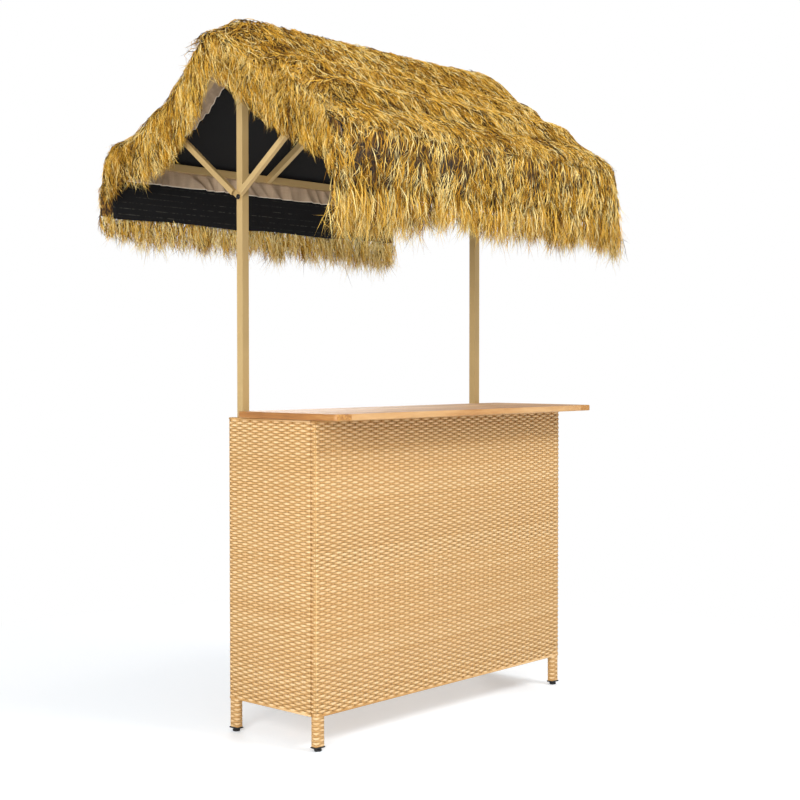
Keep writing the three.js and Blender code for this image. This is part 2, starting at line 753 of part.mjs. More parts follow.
// A tier that lies on the cover, climbs onto the head of the next tier down and ends in tufts
function tierGeometry(tier, side) {
  const head = tierHeadShares[tier] * slopeLength;
  const nextHead = tierHeadShares[tier + 1] * slopeLength;
  const rings = thatchStations().map(([k, x]) => {
    const tail = tierTailShares[tier] * slopeLength + toothDepth * (tuftShare(k + tier) - 0.5);
    const share = thinning(x);
    const body = thatchBody * share;
    const under = (down) => 3 * fit + thickness(down - nextHead) * share;
    const climbed = nextHead + thatchRise;
    const swell = climbed - thatchTipTaper;
    const taper = tail - thatchTipTaper;
    const section = [
      [head, fit],
      [nextHead - thatchStep, fit],
      [nextHead - fit, under(nextHead)],
      [climbed, under(climbed)],
      [tail, under(tail)],
      [tail, under(tail) + thatchTip * share],
      [taper, under(taper) + body],
      [swell, under(swell) + body],
      [nextHead, fit + body],
      [head + thatchRise, fit + body],
      [head, fit + thatchHead * share],
    ];
    return section.map(([down, over]) => {
      const [y, z] = bed(down, over);
      return thatchPoint(x, edgeInset(down), side * y, z);
    });
  });
  return loft(rings, flatten);
}

// The lowest tier turns over the eave and hangs in front of the valance
function eaveTierGeometry(side) {
  const head = tierHeadShares[2] * slopeLength;
  const cornerZ = bed(slopeLength, 0)[1];
  const [turn, out] = edgePlaceShares.slice(-3, -1).map((share) => share * slopeLength);
  const hangInner = coverOuterReach + fit;
  const rings = thatchStations().map(([k, x]) => {
    const share = thinning(x);
    const over = (height) => fit + height * share;
    const tip = eaveFringeBottom + toothDepth * (1 - tuftShare(k + 2));
    const middle = (cornerZ + tip) / 2;
    const wall = eaveFringeWall * share;
    const under = [head, turn, out].map((down) => [edgeInset(down), ...bed(down, fit)]);
    const hanging = [
      [eaveCornerPull, ...bed(slopeLength, fit)],
      [eaveCornerPull, hangInner, cornerZ - fit],
      [0, hangInner, tip],
      [0, hangInner + thatchTip, tip],
      [0, hangInner + wall, middle],
      [eaveCornerPull, hangInner + wall, cornerZ - eaveShoulder / 2],
      [eaveCornerPull, ...bed(slopeLength, over(thatchBody) * Math.SQRT1_2)],
      [eaveCornerPull, ...bed(slopeLength - eaveShoulder, over(thatchBody))],
    ];
    const above = [
      [out, over(thatchBody)],
      [turn, over(thatchBody)],
      [head + thatchRise, over(thatchBody)],
      [head, over(thatchHead)],
    ].map(([down, height]) => [edgeInset(down), ...bed(down, height)]);
    return [...under, ...hanging, ...above].map(([pull, y, z]) => thatchPoint(x, pull, side * y, z));
  });
  return loft(rings, flatten);
}

for (const [sideName, side] of [['front', -1], ['back', 1]]) {
  piece(`thatch_${sideName}_upper`, tierGeometry(0, side), raffia);
  piece(`thatch_${sideName}_middle`, tierGeometry(1, side), raffia);
  piece(`thatch_${sideName}_eave`, eaveTierGeometry(side), raffia);
}

// The ridge cap: a rounded saddle over the heads of both upper tiers
function ridgeCapGeometry() {
  const head = tierHeadShares[0] * slopeLength;
  const rings = thatchStations().map(([k, x]) => {
    const share = thinning(x);
    const half = (side) => {
      const skirt = ridgeSkirt + toothDepth * (tuftShare(k + 3 * side + 6) - 0.5);
      const under = (down) => 3 * fit + thickness(down - head) * share;
      const below = [
        [0, fit],
        [head - thatchStep, fit],
        [head - fit, under(head)],
        [head + thatchRise, under(head + thatchRise)],
        [skirt, under(skirt)],
      ].map(([down, over]) => [down, ...bed(down, over)]);
      const last = ridgeCrownShares.length - 1;
      const above = ridgeCrownShares.slice(1).map((crownShare, place) => {
        const down = (skirt * (place + 1)) / last;
        const [y, z] = bed(down, fit);
        return [down, y, z + ridgeCrown * crownShare * share];
      });
      return { below, above };
    };
    const [front, back] = [half(-1), half(1)];
    const crown = [0, 0, ridgeTop + coverRise + fit + ridgeCrown * share];
    const right = [...back.below, ...back.above.reverse()];
    const left = [...front.above, ...front.below.reverse()].map(([down, y, z]) => [down, -y, z]);
    return [...right, crown, ...left].map(([down, y, z]) => thatchPoint(x, edgeInset(down), y, z));
  });
  return loft(rings, flatten);
}

piece('thatch_ridge_cap', ridgeCapGeometry(), raffia);

// Gable fringes: tufts that hang from the end of the thatch beside the cover's edge

// Distances down the slope, an even number of steps in each run of the cover's edge
function gableStations() {
  const bends = edgePlaceShares.map((share) => share * slopeLength);
  const half = [0];
  for (let run = 1; run < bends.length; run += 1) {
    const [start, end] = [bends[run - 1], bends[run]];
    const steps = 2 * Math.max(Math.round((end - start) / toothPitch), 1);
    for (let k = 1; k <= steps; k += 1) {
      half.push(start + ((end - start) * k) / steps);
    }
  }
  const back = half.map((down) => [1, down]);
  const front = half.map((down) => [-1, down]).reverse();
  return [...front, ...back];
}

function gableFringeGeometry() {
  const rings = gableStations().map(([side, down], k) => {
    const y = side * reachAt(down);
    const inner = coverHalfLength + fit - edgeInset(down);
    const top = ridgeTop + coverRise - down * Math.sin(coverPitch);
    const hang = gableFringeHang * between(gablePlaceShares, gableHangShares, down / slopeLength);
    const tip = top - hang - gableToothDepth * (tuftShare(k + 1) - 0.5);
    const middle = (top + tip) / 2;
    const ring = [
      [inner, top],
      [inner + gableFringeWall, top],
      [inner + gableFringeWall, middle],
      [inner + gableFringeTip, tip],
      [inner, tip],
    ];
    return ring.map(([x, z]) => new THREE.Vector3(x, y, z));
  });
  return loft(rings, (point) => new THREE.Vector2(point.x, point.z));
}

piece('thatch_right_gable', gableFringeGeometry(), raffia);
piece('thatch_left_gable', gableFringeGeometry(), raffia).rotation.z = 2 * quarter;

export default hut;
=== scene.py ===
# %% [markdown]
# # A tiki bar hut
# The hut is a woven cabinet with a slatted counter, two painted posts and a thatched gable roof.
# The imported model gives every size, so each new piece here is built on its numbers and stays in its box.
# We load it first and keep its outer box.

# %% Load the frame
import math
from contextlib import contextmanager
import bpy
import numpy as np
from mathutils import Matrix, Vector
from mathutils.bvhtree import BVHTree


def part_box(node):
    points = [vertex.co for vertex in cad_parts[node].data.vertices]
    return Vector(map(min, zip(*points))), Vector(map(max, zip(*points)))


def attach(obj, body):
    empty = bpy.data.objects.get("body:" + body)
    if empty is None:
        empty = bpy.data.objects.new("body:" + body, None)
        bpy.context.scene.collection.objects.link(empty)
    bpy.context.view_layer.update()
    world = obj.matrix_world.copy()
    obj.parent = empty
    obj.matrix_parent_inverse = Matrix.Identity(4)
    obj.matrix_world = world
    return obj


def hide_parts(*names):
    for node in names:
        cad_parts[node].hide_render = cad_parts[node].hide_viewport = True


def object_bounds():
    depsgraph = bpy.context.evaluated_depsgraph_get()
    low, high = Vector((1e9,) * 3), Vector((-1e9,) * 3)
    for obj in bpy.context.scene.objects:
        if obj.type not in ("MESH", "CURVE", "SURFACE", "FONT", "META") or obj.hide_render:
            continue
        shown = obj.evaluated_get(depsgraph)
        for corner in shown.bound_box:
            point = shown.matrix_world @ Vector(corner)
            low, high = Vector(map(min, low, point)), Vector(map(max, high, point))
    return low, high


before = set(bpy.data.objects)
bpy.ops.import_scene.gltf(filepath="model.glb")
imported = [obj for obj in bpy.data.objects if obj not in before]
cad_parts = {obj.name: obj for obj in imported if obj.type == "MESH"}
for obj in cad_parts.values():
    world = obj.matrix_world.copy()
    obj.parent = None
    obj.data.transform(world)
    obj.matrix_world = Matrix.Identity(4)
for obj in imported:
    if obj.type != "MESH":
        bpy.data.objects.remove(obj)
cad_low, cad_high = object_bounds()
print("box", [round(x, 3) for x in cad_low], [round(x, 3) for x in cad_high])

# %% [markdown]
# ## Camera
# The picture is taken from the customer's left, a little above the counter, with a long lens.
# A long lens keeps the uprights nearly parallel, as in a catalogue photograph.

# %% Camera
def add_camera(place, turn, tilt, lens):
    bpy.ops.object.camera_add(location=place, rotation=(math.radians(90 - tilt), 0, -math.radians(turn)))
    camera = bpy.context.object
    camera.name = "camera"
    camera.data.lens, camera.data.sensor_width, camera.data.clip_end = lens, 36.0, 200.0
    bpy.context.scene.camera = camera
    return camera


camera = add_camera((-3.658, -3.435, 1.189), turn=48.06, tilt=1.49, lens=63.85)
print("camera at", [round(x, 3) for x in camera.location], "lens", camera.data.lens)

# %% [markdown]
# ## Writing a material as arithmetic
# A node material can be built by hand in the editor, or in code.
# Here one small class wraps an output socket, so that `a * 0.5 + b` adds its own Math nodes,
# and one method adds every other kind of node from its type, its settings and its inputs.

# %% Material helpers
WHITE = (1.0, 1.0, 1.0)


def srgb(red, green, blue):
    """A colour as it reads on screen, 0 to 255, turned into the linear values that shaders use."""
    def linear(value):
        share = value / 255
        return share / 12.92 if share <= 0.04045 else ((share + 0.055) / 1.055) ** 2.4
    return (linear(red), linear(green), linear(blue))


def both_ways(operation):
    """An operator and its reflected form, so that `1 - mask` works as `mask - 1` does."""
    return (lambda self, other: self.maths(operation, self, other),
            lambda self, other: self.maths(operation, other, self))


class Value:
    """One output socket. Arithmetic on it adds Math nodes to its tree."""

    def __init__(self, owner, socket):
        self.owner, self.socket = owner, socket

    def maths(self, operation, first, second):
        return self.owner.node("Math", {0: first, 1: second}, operation=operation)

    __add__, __radd__ = both_ways("ADD")
    __sub__, __rsub__ = both_ways("SUBTRACT")
    __mul__, __rmul__ = both_ways("MULTIPLY")


class Nodes:
    """A node tree, with the one method that adds nodes to it."""

    def __init__(self, tree):
        self.tree = tree

    def feed(self, socket, value):
        if isinstance(value, Value):
            self.tree.links.new(value.socket, socket)
        elif isinstance(value, tuple) and len(value) == 3 and len(socket.default_value) == 4:
            socket.default_value = (*value, 1.0)
        else:
            socket.default_value = value

    def node(self, kind, sockets=None, output=0, stops=None, **settings):
        made = self.tree.nodes.new("ShaderNode" + kind)
        for name, value in settings.items():
            setattr(made, name, value)
        if stops:
            elements = made.color_ramp.elements
            elements.remove(elements[1])
            elements[0].position = stops[0][0]
            elements[0].color = (*stops[0][1], 1.0)
            for place, colour in stops[1:]:
                elements.new(place).color = (*colour, 1.0)
        for name, value in (sockets or {}).items():
            self.feed(made.inputs[name], value)
        return Value(self, made.outputs[output])


class Finish(Nodes):
    """A material with one Principled shader, and short names for the nodes that it often needs."""

    def __init__(self, name, colour, roughness, metallic=0.0, **constants):
        self.material = bpy.data.materials.new(name)
        self.material.use_nodes = True
        super().__init__(self.material.node_tree)
        self.shader = self.tree.nodes["Principled BSDF"]
        self.material.diffuse_color = (*colour, 1.0)
        self.set("Base Color", colour)
        self.set("Roughness", roughness)
        self.set("Metallic", metallic)
        for socket, value in constants.items():
            self.set(socket.replace("_", " ").title(), value)

    def set(self, socket, value):
        self.feed(self.shader.inputs[socket], value)

    def place(self, scale=(1, 1, 1), shift=(0, 0, 0)):
        """Object coordinates in metres, moved and stretched."""
        spot = self.node("TexCoord", output="Object")
        return self.node("Mapping", {"Vector": spot, "Scale": scale, "Location": shift})

    def axis(self, vector, number):
        return self.node("SeparateXYZ", {0: vector}, output=number)

    def strand_map(self):
        """A strand's column, and the height along it."""
        spot = self.node("UVMap", uv_map="OFBake")
        return self.axis(spot, 0), self.axis(spot, 1)

    def noise(self, vector, scale, detail=2.0, roughness=0.5):
        return self.node("TexNoise", {"Vector": vector, "Scale": scale, "Detail": detail,
                                                "Roughness": roughness}, output="Fac")

    def streaks(self, scale, detail=2.0, shift=(0, 0, 0)):
        return self.noise(self.place(scale, shift), 1.0, detail)

    def ramp(self, factor, *stops):
        """Each stop is a place from 0 to 1 and a colour as it reads on screen."""
        stops = [(place, srgb(*colour)) for place, colour in stops]
        return self.node("ValToRGB", {"Fac": factor}, output="Color", stops=stops)

    def mix(self, factor, first, second, way="MIX"):
        return self.node("Mix", {0: factor, 6: first, 7: second}, output=2,
                         data_type="RGBA", blend_type=way)

    def grey(self, value):
        return self.node("CombineColor", {0: value, 1: value, 2: value})

    def clamp(self, value, low, high, to_low=0.0, to_high=1.0):
        """Maps low..high to to_low..to_high and cuts off beyond them."""
        return self.node("MapRange", {"Value": value, "From Min": low, "From Max": high,
                                                "To Min": to_low, "To Max": to_high})

    def bump(self, height, distance, strength=1.0):
        self.set("Normal", self.node("Bump", {"Height": height, "Distance": distance,
                                                        "Strength": strength}))


print("helpers ready")

# %% [markdown]
# ## Finishes of the hard parts
# Powder coat is a thin even skin: one colour, a fine orange-peel bump and a soft sheen.
# Plastic caps and zinc-black bolts are dark, and differ in their gloss and in their scuffs.

# %% Painted tube, plastic and steel
COATS = {
    "champagne_paint": dict(colour=(195, 165, 111), roughness=0.42, metallic=0.25,
                            cloud=3.0, tones=((0.3, (188, 157, 103)), (0.7, (202, 172, 118))),
                            patch=60.0, gloss=(0.36, 0.5), grain=(900.0, 1.0), bump=(0.0002, 0.5)),
    "black_plastic": dict(colour=(16, 16, 17), roughness=0.5, metallic=0.0,
                          cloud=25.0, tones=((0.35, (15, 15, 16)), (0.7, (28, 27, 27))),
                          patch=80.0, gloss=(0.42, 0.62), grain=(700.0, 2.0), bump=(0.0002, 0.6)),
    "black_steel": dict(colour=(34, 34, 36), roughness=0.35, metallic=0.85,
                        cloud=200.0, tones=((0.35, (26, 26, 28)), (0.7, (56, 55, 56))),
                        patch=300.0, gloss=(0.28, 0.46), grain=(1200.0, 2.0), bump=(0.0001, 0.4)),
}


def coated(name, colour, roughness, metallic, cloud, tones, patch, gloss, grain, bump):
    """Cloudy colour, patchy gloss and a grainy bump. cloud and patch are scales of their noises,
    grain is a scale and a detail, and bump is a distance and a strength."""
    finish = Finish(name, srgb(*colour), roughness, metallic=metallic)
    spot = finish.place()
    finish.set("Base Color", finish.ramp(finish.noise(spot, cloud), *tones))
    finish.set("Roughness", finish.clamp(finish.noise(spot, patch), 0.3, 0.7, *gloss))
    finish.bump(finish.noise(spot, *grain), *bump)
    return finish.material


hard = {name: coated(name, **coat) for name, coat in COATS.items()}
print("hard finishes", sorted(hard))

# %% [markdown]
# ## Acacia
# Oiled acacia is orange to brown with long darker veins and a few knots, and each board is cut
# from another place. A stretched noise gives the veins, a distorted Wave texture the growth rings,
# and every board gets its own shift and tint. The short faces show end grain instead.

# %% Wood
VEINS = ((0.2, (122, 74, 30)), (0.38, (166, 110, 50)), (0.55, (200, 149, 84)), (0.75, (220, 176, 114)))
END_GRAIN = ((0.35, (158, 104, 48)), (0.65, (200, 146, 76)))
KNOT = srgb(96, 54, 24)
BOARDS = ["counter_front_board", "counter_slat_1", "counter_slat_2", "counter_slat_3", "counter_slat_4",
          "counter_back_board", "counter_left_end_board", "counter_right_end_board",
          "counter_batten_left", "counter_batten_middle", "counter_batten_right"]


def acacia(name, along, number):
    """along is 0 for a board that runs in x and 1 for one that runs in y."""
    rng = np.random.default_rng(100 + number)
    finish = Finish(name, srgb(196, 140, 82), 0.5, coat_weight=0.12, coat_roughness=0.35)
    shift = tuple(float(x) for x in rng.uniform(-4, 4, 3))
    warm = float(rng.uniform(-9, 9))

    def stretched(long, across):
        return finish.place((long, across, across) if along == 0 else (across, long, across), shift)

    spot = stretched(1.0, 9.0)
    vein = finish.noise(spot, 3.2, 6.0, 0.62)
    fine = finish.noise(spot, 26.0, 3.0)
    ring = finish.node("TexWave", {"Vector": spot, "Scale": 0.9, "Distortion": 7.5,
                                             "Detail": 3.0, "Detail Scale": 1.1}, output="Fac",
                       bands_direction="Y" if along == 0 else "X")
    wood = finish.ramp(vein * 0.55 + ring * 0.3 + fine * 0.15,
                       *[(place, (red + warm, green + warm, blue)) for place, (red, green, blue) in VEINS])
    knot = finish.node("TexVoronoi", {"Vector": stretched(2.2, 7.0), "Scale": 0.9,
                                                "Randomness": 1.0}, output="Distance")
    knotted = finish.mix(finish.clamp(knot, 0.02, 0.13, 1.0, 0.0), wood, KNOT)
    ahead = finish.axis(finish.node("NewGeometry", output="Normal"), along)
    grain = finish.ramp(finish.noise(finish.place((60, 60, 60), shift), 3.0, 3.0), *END_GRAIN)
    finish.set("Base Color", finish.mix(finish.clamp(ahead * ahead, 0.4, 0.8), knotted, grain))
    finish.set("Roughness", finish.clamp(vein, 0.3, 0.7, 0.58, 0.44))
    finish.bump(fine * 0.6 + vein * 0.4, 0.0006, 0.5)
    return finish.material


def dress(node, material):
    """Gives a node of the frame its finish."""
    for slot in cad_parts[node].material_slots:
        slot.material = material


for number, node in enumerate(BOARDS):
    runs_in_y = "end_board" in node or "batten" in node
    dress(node, acacia("acacia_" + node, 1 if runs_in_y else 0, number))
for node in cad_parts:
    if node.startswith(("post", "ridge_beam", "eave_rail", "rafter", "strut")) or node.endswith("panel_frame"):
        dress(node, hard["champagne_paint"])
    if node.startswith(("foot_cap", "leveller", "spacer")):
        dress(node, hard["black_plastic"])
    if node.startswith("strut_bolt"):
        dress(node, hard["black_steel"])
print("boards", len(BOARDS))

# %% [markdown]
# ## Strands
# Wicker rows and thatch are thousands of thin strands. Modelling each by hand is no use, and an
# Array modifier repeats one shape too evenly. So one function takes rings of points, a row of them
# for each strand, and skins them into one closed mesh. The UV map puts every strand in one of
# sixteen columns, so its colour is a simple lookup by column, and its height runs along the strand.

# %% Skinning many strands at once
COLUMNS = 16
MARGIN, FILLED = 0.1, 0.8   # a strand's faces fill the middle of its column
END_RISE, LAST_END = 0.02, 0.97   # where the caps of a strand lie in the map's height


def add_map(mesh, spots):
    """The UV map, with a spot for each corner of each face."""
    layer = mesh.uv_layers.new(name="OFBake")
    layer.data.foreach_set("uv", spots.astype(np.float32).ravel())


def strand_mesh(name, rings, column, closed=False, tips=None, level=None):
    """rings is an array (strands, steps, points round, 3). tips ends each strand in one point.
    level is the map's height at each step, from 0 to 1, where it isn't the way along the strand."""
    count, steps, sides, _ = rings.shape
    points = rings.reshape(-1, 3)
    start = np.arange(count)[:, None, None] * steps * sides
    step, side = np.meshgrid(np.arange(steps if closed else steps - 1), np.arange(sides), indexing="ij")
    after, turn = (step + 1) % steps, (side + 1) % sides
    quad = np.stack([step * sides + side, step * sides + turn, after * sides + turn, after * sides + side], -1)
    corners = (start + quad.reshape(1, -1, 4)).reshape(-1, 4)
    across = np.stack([side, side + 1, side + 1, side], -1).reshape(1, -1, 4) / sides
    if level is None:
        along = np.stack([step, step, step + 1, step + 1], -1).reshape(1, -1, 4) / steps
    else:
        along = level[:, np.stack([step, step, after, after], -1).reshape(-1)].reshape(count, -1, 4)
    left = (column[:, None, None] + MARGIN + FILLED * across) / COLUMNS
    faces = [(corners, np.stack([left, along + 0 * left], -1).reshape(-1, 4, 2))]
    low = (column[:, None] + MARGIN + FILLED * np.arange(sides)[None] / sides) / COLUMNS
    if not closed:
        first = np.arange(sides)[::-1]
        wedge = np.where(np.arange(sides) % 2, END_RISE, 0.0)
        ends = [(first, 0.0), (first[::-1] + (steps - 1) * sides, LAST_END)]
        for ring, height in ends[:1] if tips is not None else ends:
            faces.append(((start[:, 0] + ring[None]).reshape(-1, sides),
                          np.stack([low, wedge[None] + height + 0 * low], -1)))
    if tips is not None:
        apex = len(points) + np.arange(count)
        ring = start[:, :, 0] + (steps - 1) * sides + np.arange(sides)[None]
        fan = np.stack([ring, np.roll(ring, -1, 1), np.repeat(apex[:, None], sides, 1)], -1).reshape(-1, 3)
        wide = FILLED / sides / COLUMNS
        foot = (steps - 1) / steps if level is None else level[:, -1:]
        corners_uv = [np.stack([low, 0 * low + foot], -1), np.stack([low + wide, 0 * low + foot], -1),
                      np.stack([low + wide / 2, 0 * low + 1.0], -1)]
        faces.append((fan, np.stack(corners_uv, -2).reshape(-1, 3, 2)))
        points = np.concatenate([points, tips])
    mesh = bpy.data.meshes.new(name)
    mesh.vertices.add(len(points))
    mesh.vertices.foreach_set("co", points.astype(np.float32).ravel())
    sizes = np.concatenate([np.full(len(c), c.shape[1]) for c, _ in faces])
    mesh.loops.add(int(sizes.sum()))
    mesh.loops.foreach_set("vertex_index", np.concatenate([c.ravel() for c, _ in faces]).astype(np.int32))
    mesh.polygons.add(len(sizes))
    mesh.polygons.foreach_set("loop_start", np.concatenate([[0], np.cumsum(sizes)[:-1]]).astype(np.int32))
    mesh.polygons.foreach_set("use_smooth", np.ones(len(sizes), dtype=bool))
    add_map(mesh, np.concatenate([w.reshape(-1) for _, w in faces]))
    mesh.update(calc_edges=True)
    mesh.validate()
    return mesh


def triangles(obj):
    obj.data.calc_loop_triangles()
    return len(obj.data.loop_triangles)


def add_piece(name, mesh, material):
    """Everything new rides on the hut, because only the levellers move."""
    obj = bpy.data.objects.new(name, mesh)
    bpy.context.collection.objects.link(obj)
    mesh.materials.clear()
    mesh.materials.append(material)
    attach(obj, "hut")
    return obj


def choose(*objects):
    """Selects these objects and no others, and makes the first one active."""
    bpy.ops.object.select_all(action="DESELECT")
    for obj in objects:
        obj.select_set(True)
    bpy.context.view_layer.objects.active = objects[0]


def join(*objects):
    """Joins objects into the first one, with the join operator."""
    choose(*objects)
    bpy.ops.object.join()
    return objects[0]


def join_meshes(name, meshes, material):
    return join(*[add_piece(name if i == 0 else name + "_part", mesh, material)
                  for i, mesh in enumerate(meshes)])


def unit(vectors):
    return vectors / np.maximum(np.linalg.norm(vectors, axis=-1, keepdims=True), 1e-9)


def rise(value, start, width):
    """0 up to start, 1 from start + width on, and even in between."""
    return np.clip((value - start) / width, 0, 1)


def lumps(a, b, seed):
    """Smooth noise from -1 to 1 over a plane: random heights on a grid, blended in between."""
    grid = np.random.default_rng(seed).uniform(-1, 1, (64, 64))
    row, col = np.floor(a).astype(int), np.floor(b).astype(int)
    s, t = a - row, b - col
    s, t = s * s * (3 - 2 * s), t * t * (3 - 2 * t)
    low, high = (grid[row % 64, c % 64] * (1 - s) + grid[(row + 1) % 64, c % 64] * s for c in (col, col + 1))
    return low * (1 - t) + high * t


print("strand columns", COLUMNS)

# %% [markdown]
# ## Wicker
# The cabinet is clad in flat plastic wicker: level rows run over and under upright stakes 24 mm apart,
# and every second row is half a step out, which gives the brick pattern.
# A bump map would look flat at the edges and round the legs, so each row is real: a flat oval section
# that follows a route round the panel's plan and waves in and out of the stakes.

# %% Wicker finish
HONEY = ((0.0, (225, 186, 131)), (0.5, (231, 194, 142)), (1.0, (237, 203, 153)))
# painted shade: a strand is darker where it dips under a stake and lightest on its crest
PAINTED_DIP_SHADE = ((0.1, (208, 187, 150)), (0.5, (224, 208, 180)), (0.8, (252, 250, 247)))


def wicker():
    """The column picks a strand's colour, and its height in the map paints shade where it dips under a stake.
    """
    finish = Finish("wicker", srgb(226, 186, 128), 0.42)
    column, crest = finish.strand_map()
    honey, dip_shade = finish.ramp(column, *HONEY), finish.ramp(crest, *PAINTED_DIP_SHADE)
    finish.set("Base Color", finish.mix(1.0, honey, dip_shade, "MULTIPLY"))
    streak = finish.streaks((40, 40, 900))
    finish.set("Roughness", finish.clamp(streak, 0.3, 0.7, 0.45, 0.6))
    finish.bump(streak, 0.0002, 0.5)
    return finish.material


soft = {"wicker": wicker()}
print("wicker finish ready")

# %% Rows of wicker along a route
STAKE = 1.262 / 52   # from one stake to the next
ROW_PITCH = 0.0079
ROW_THICK, STAKE_THICK = 0.0015, 0.0009
STEPS_A_STAKE, STEPS_ROUND_LEG = 4, 12
SWAY = (ROW_THICK + STAKE_THICK) / 2
LEG_SWAY = 0.4   # a leg's rows are wound tight
# the stakes are painted in shade, at a dark height of the dip ramp
STAKE_SHADE_LEVELS = (0.28, 0.28 + 0.02)   # the stakes take the darker tone of the rows where these dip
# Sections, outward and upward: in shares of the thickness and the pitch, and of the thickness and in metres.
ROW_SECTION = np.array([(0.0, 0.52), (0.5, 0.24), (0.5, -0.24), (0.0, -0.52), (-0.5, 0.0)])
STAKE_SECTION = np.array([(0.0, 0.0034), (0.5, 0.0018), (0.5, -0.0018), (0.0, -0.0034), (-0.5, 0.0)])
EDGE_SECTION = np.array([(0.0, 0.0036), (0.0017, 0.0018), (0.0017, -0.0018), (0.0, -0.0036), (-0.0012, 0.0)])


def walk(corners, spacing, closed=False):
    """Evenly spaced points along a plan route, with the outward direction at each."""
    route = np.array(corners + corners[:1] if closed else corners, dtype=float)
    legs = np.linalg.norm(np.diff(route, axis=0), axis=1)
    reach = np.concatenate([[0], np.cumsum(legs)])
    count = STEPS_ROUND_LEG if closed else max(4, round(reach[-1] / spacing))
    marks = np.linspace(0, reach[-1], count + 1)
    spots = np.stack([np.interp(marks, reach, route[:, i]) for i in (0, 1)], -1)
    if closed:
        spots, marks = spots[:-1], marks[:-1]
        ahead = np.roll(spots, -1, 0) - np.roll(spots, 1, 0)
    else:
        ahead = np.gradient(spots, axis=0)
    ahead = unit(ahead)
    return spots, np.stack([ahead[:, 1], -ahead[:, 0]], -1), marks, reach[-1]


def over_under(marks, beat, rows):
    """Each row's wave, from 1 over a stake to -1 under the next, flatter at both than a cosine.
    Every second row is out of step."""
    turn = np.cos(np.pi * marks / beat)
    return np.sign(turn) * np.abs(turn) ** 0.85 * np.where(np.arange(rows) % 2, 1.0, -1.0)[:, None]


def rings_of(x, y, z):
    """Rings of points from their x, y and z, each given only along the ways in which it varies."""
    return np.stack(np.broadcast_arrays(x, y, z), -1)


def beside(spots, outward, reach):
    """The x and the y of points that stand a reach off a route."""
    return [spots[:, i:i + 1] + outward[:, i:i + 1] * reach for i in (0, 1)]


def row_mesh(name, rings, wave, rng, closed=False):
    # the wave is the height in the map, so the painted shade follows the dips
    return strand_mesh(name, rings, rng.integers(0, COLUMNS, len(rings)), closed, level=0.5 + 0.4 * wave)


def stake_mesh(name, rings, rng):
    return strand_mesh(name, rings, rng.integers(4, COLUMNS, len(rings)),
                       level=np.tile(STAKE_SHADE_LEVELS, (len(rings), 1)))


def weave_rows(name, corners, heights, rng, closed=False):
    """One strand a height, which waves over and under the stakes."""
    spots, outward, marks, total = walk(corners, STAKE / STEPS_A_STAKE, closed)
    wave = over_under(marks, total / 4 if closed else STAKE, len(heights))
    reach = (SWAY * (LEG_SWAY if closed else 1.0) * wave)[:, :, None] + ROW_THICK * ROW_SECTION[:, 0]
    level = heights[:, None, None] + (heights[1] - heights[0]) * ROW_SECTION[:, 1]
    return row_mesh(name, rings_of(*beside(spots, outward, reach), level), wave, rng, closed)


def weave_stakes(name, corners, low, high, rng):
    spots, outward, marks, total = walk(corners, STAKE / 8)
    wanted = np.arange(0, total, STAKE)
    x, y, out_x, out_y = (np.interp(wanted, marks, line)[:, None, None] for line in (*spots.T, *outward.T))
    thick, wide = STAKE_SECTION.T
    return stake_mesh(name, rings_of(x + out_x * STAKE_THICK * thick - out_y * wide,
                                     y + out_y * STAKE_THICK * thick + out_x * wide,
                                     np.array([high, low])[:, None]), rng)


print("stake step", STAKE, "sway", round(SWAY, 5))

# %% [markdown]
# The front panel is one sheet of weaving that wraps both front legs. The end panels start behind it,
# so a fine upright groove shows between them, and they wrap the back legs. Below the panels the
# legs go on to the floor in short woven sleeves.

# %% The three panels
PANEL_LOW, PANEL_HIGH, SLEEVE_LOW = 0.107, 1.013, 0.0146
HALF, FRONT, BACK = 0.631, -0.372, 0.027
DEEP, LEG, SEAM = 0.0256, 0.0386, -0.3461
SKIN = 0.0019   # from the weave's outer face to the middle of its stakes
LIP = 0.007   # the weave's free edges stop this far from its face
SLEEVE_FIT = 0.0012   # a sleeve's strands stand this much further out
EDGE_HIGH = 0.0036   # height of the strand that binds an edge


def row_heights(low, high):
    rows = round((high - low) / ROW_PITCH)
    return low + (np.arange(rows) + 0.5) * (high - low) / rows


def front_route():
    side, face, rear = HALF - SKIN, FRONT + SKIN, FRONT + DEEP - SKIN
    inner = HALF - LEG + SKIN
    return [(-inner, face + LIP), (-inner, rear), (-side, rear), (-side, face),
            (side, face), (side, rear), (inner, rear), (inner, face + LIP)]


def end_route(sign):
    side, inner = HALF - SKIN, HALF - DEEP + SKIN
    rear, near = BACK - SKIN, BACK - LEG + SKIN
    route = [(-inner, SEAM + SKIN), (-side, SEAM + SKIN), (-side, rear), (-inner, rear), (-inner, near),
             (-side + LIP, near)]
    return [(-x, y) for x, y in route] if sign > 0 else route[::-1]


def leg_route(x, y, wide, deep):
    """Round a leg, against the clock, so that its outward side is the outer face."""
    half_x, half_y = wide / 2 - SKIN + SLEEVE_FIT, deep / 2 - SKIN + SLEEVE_FIT
    return [(x - half_x, y - half_y), (x + half_x, y - half_y), (x + half_x, y + half_y),
            (x - half_x, y + half_y)]


def edge_strip(name, corners, height, column):
    """The smooth strand that binds a panel's top or bottom edge."""
    spots, outward, _, _ = walk(corners, 0.012)
    rings = rings_of(*beside(spots, outward, EDGE_SECTION[:, 0]), height + EDGE_SECTION[:, 1])
    return strand_mesh(name, rings[None], np.array([column]))


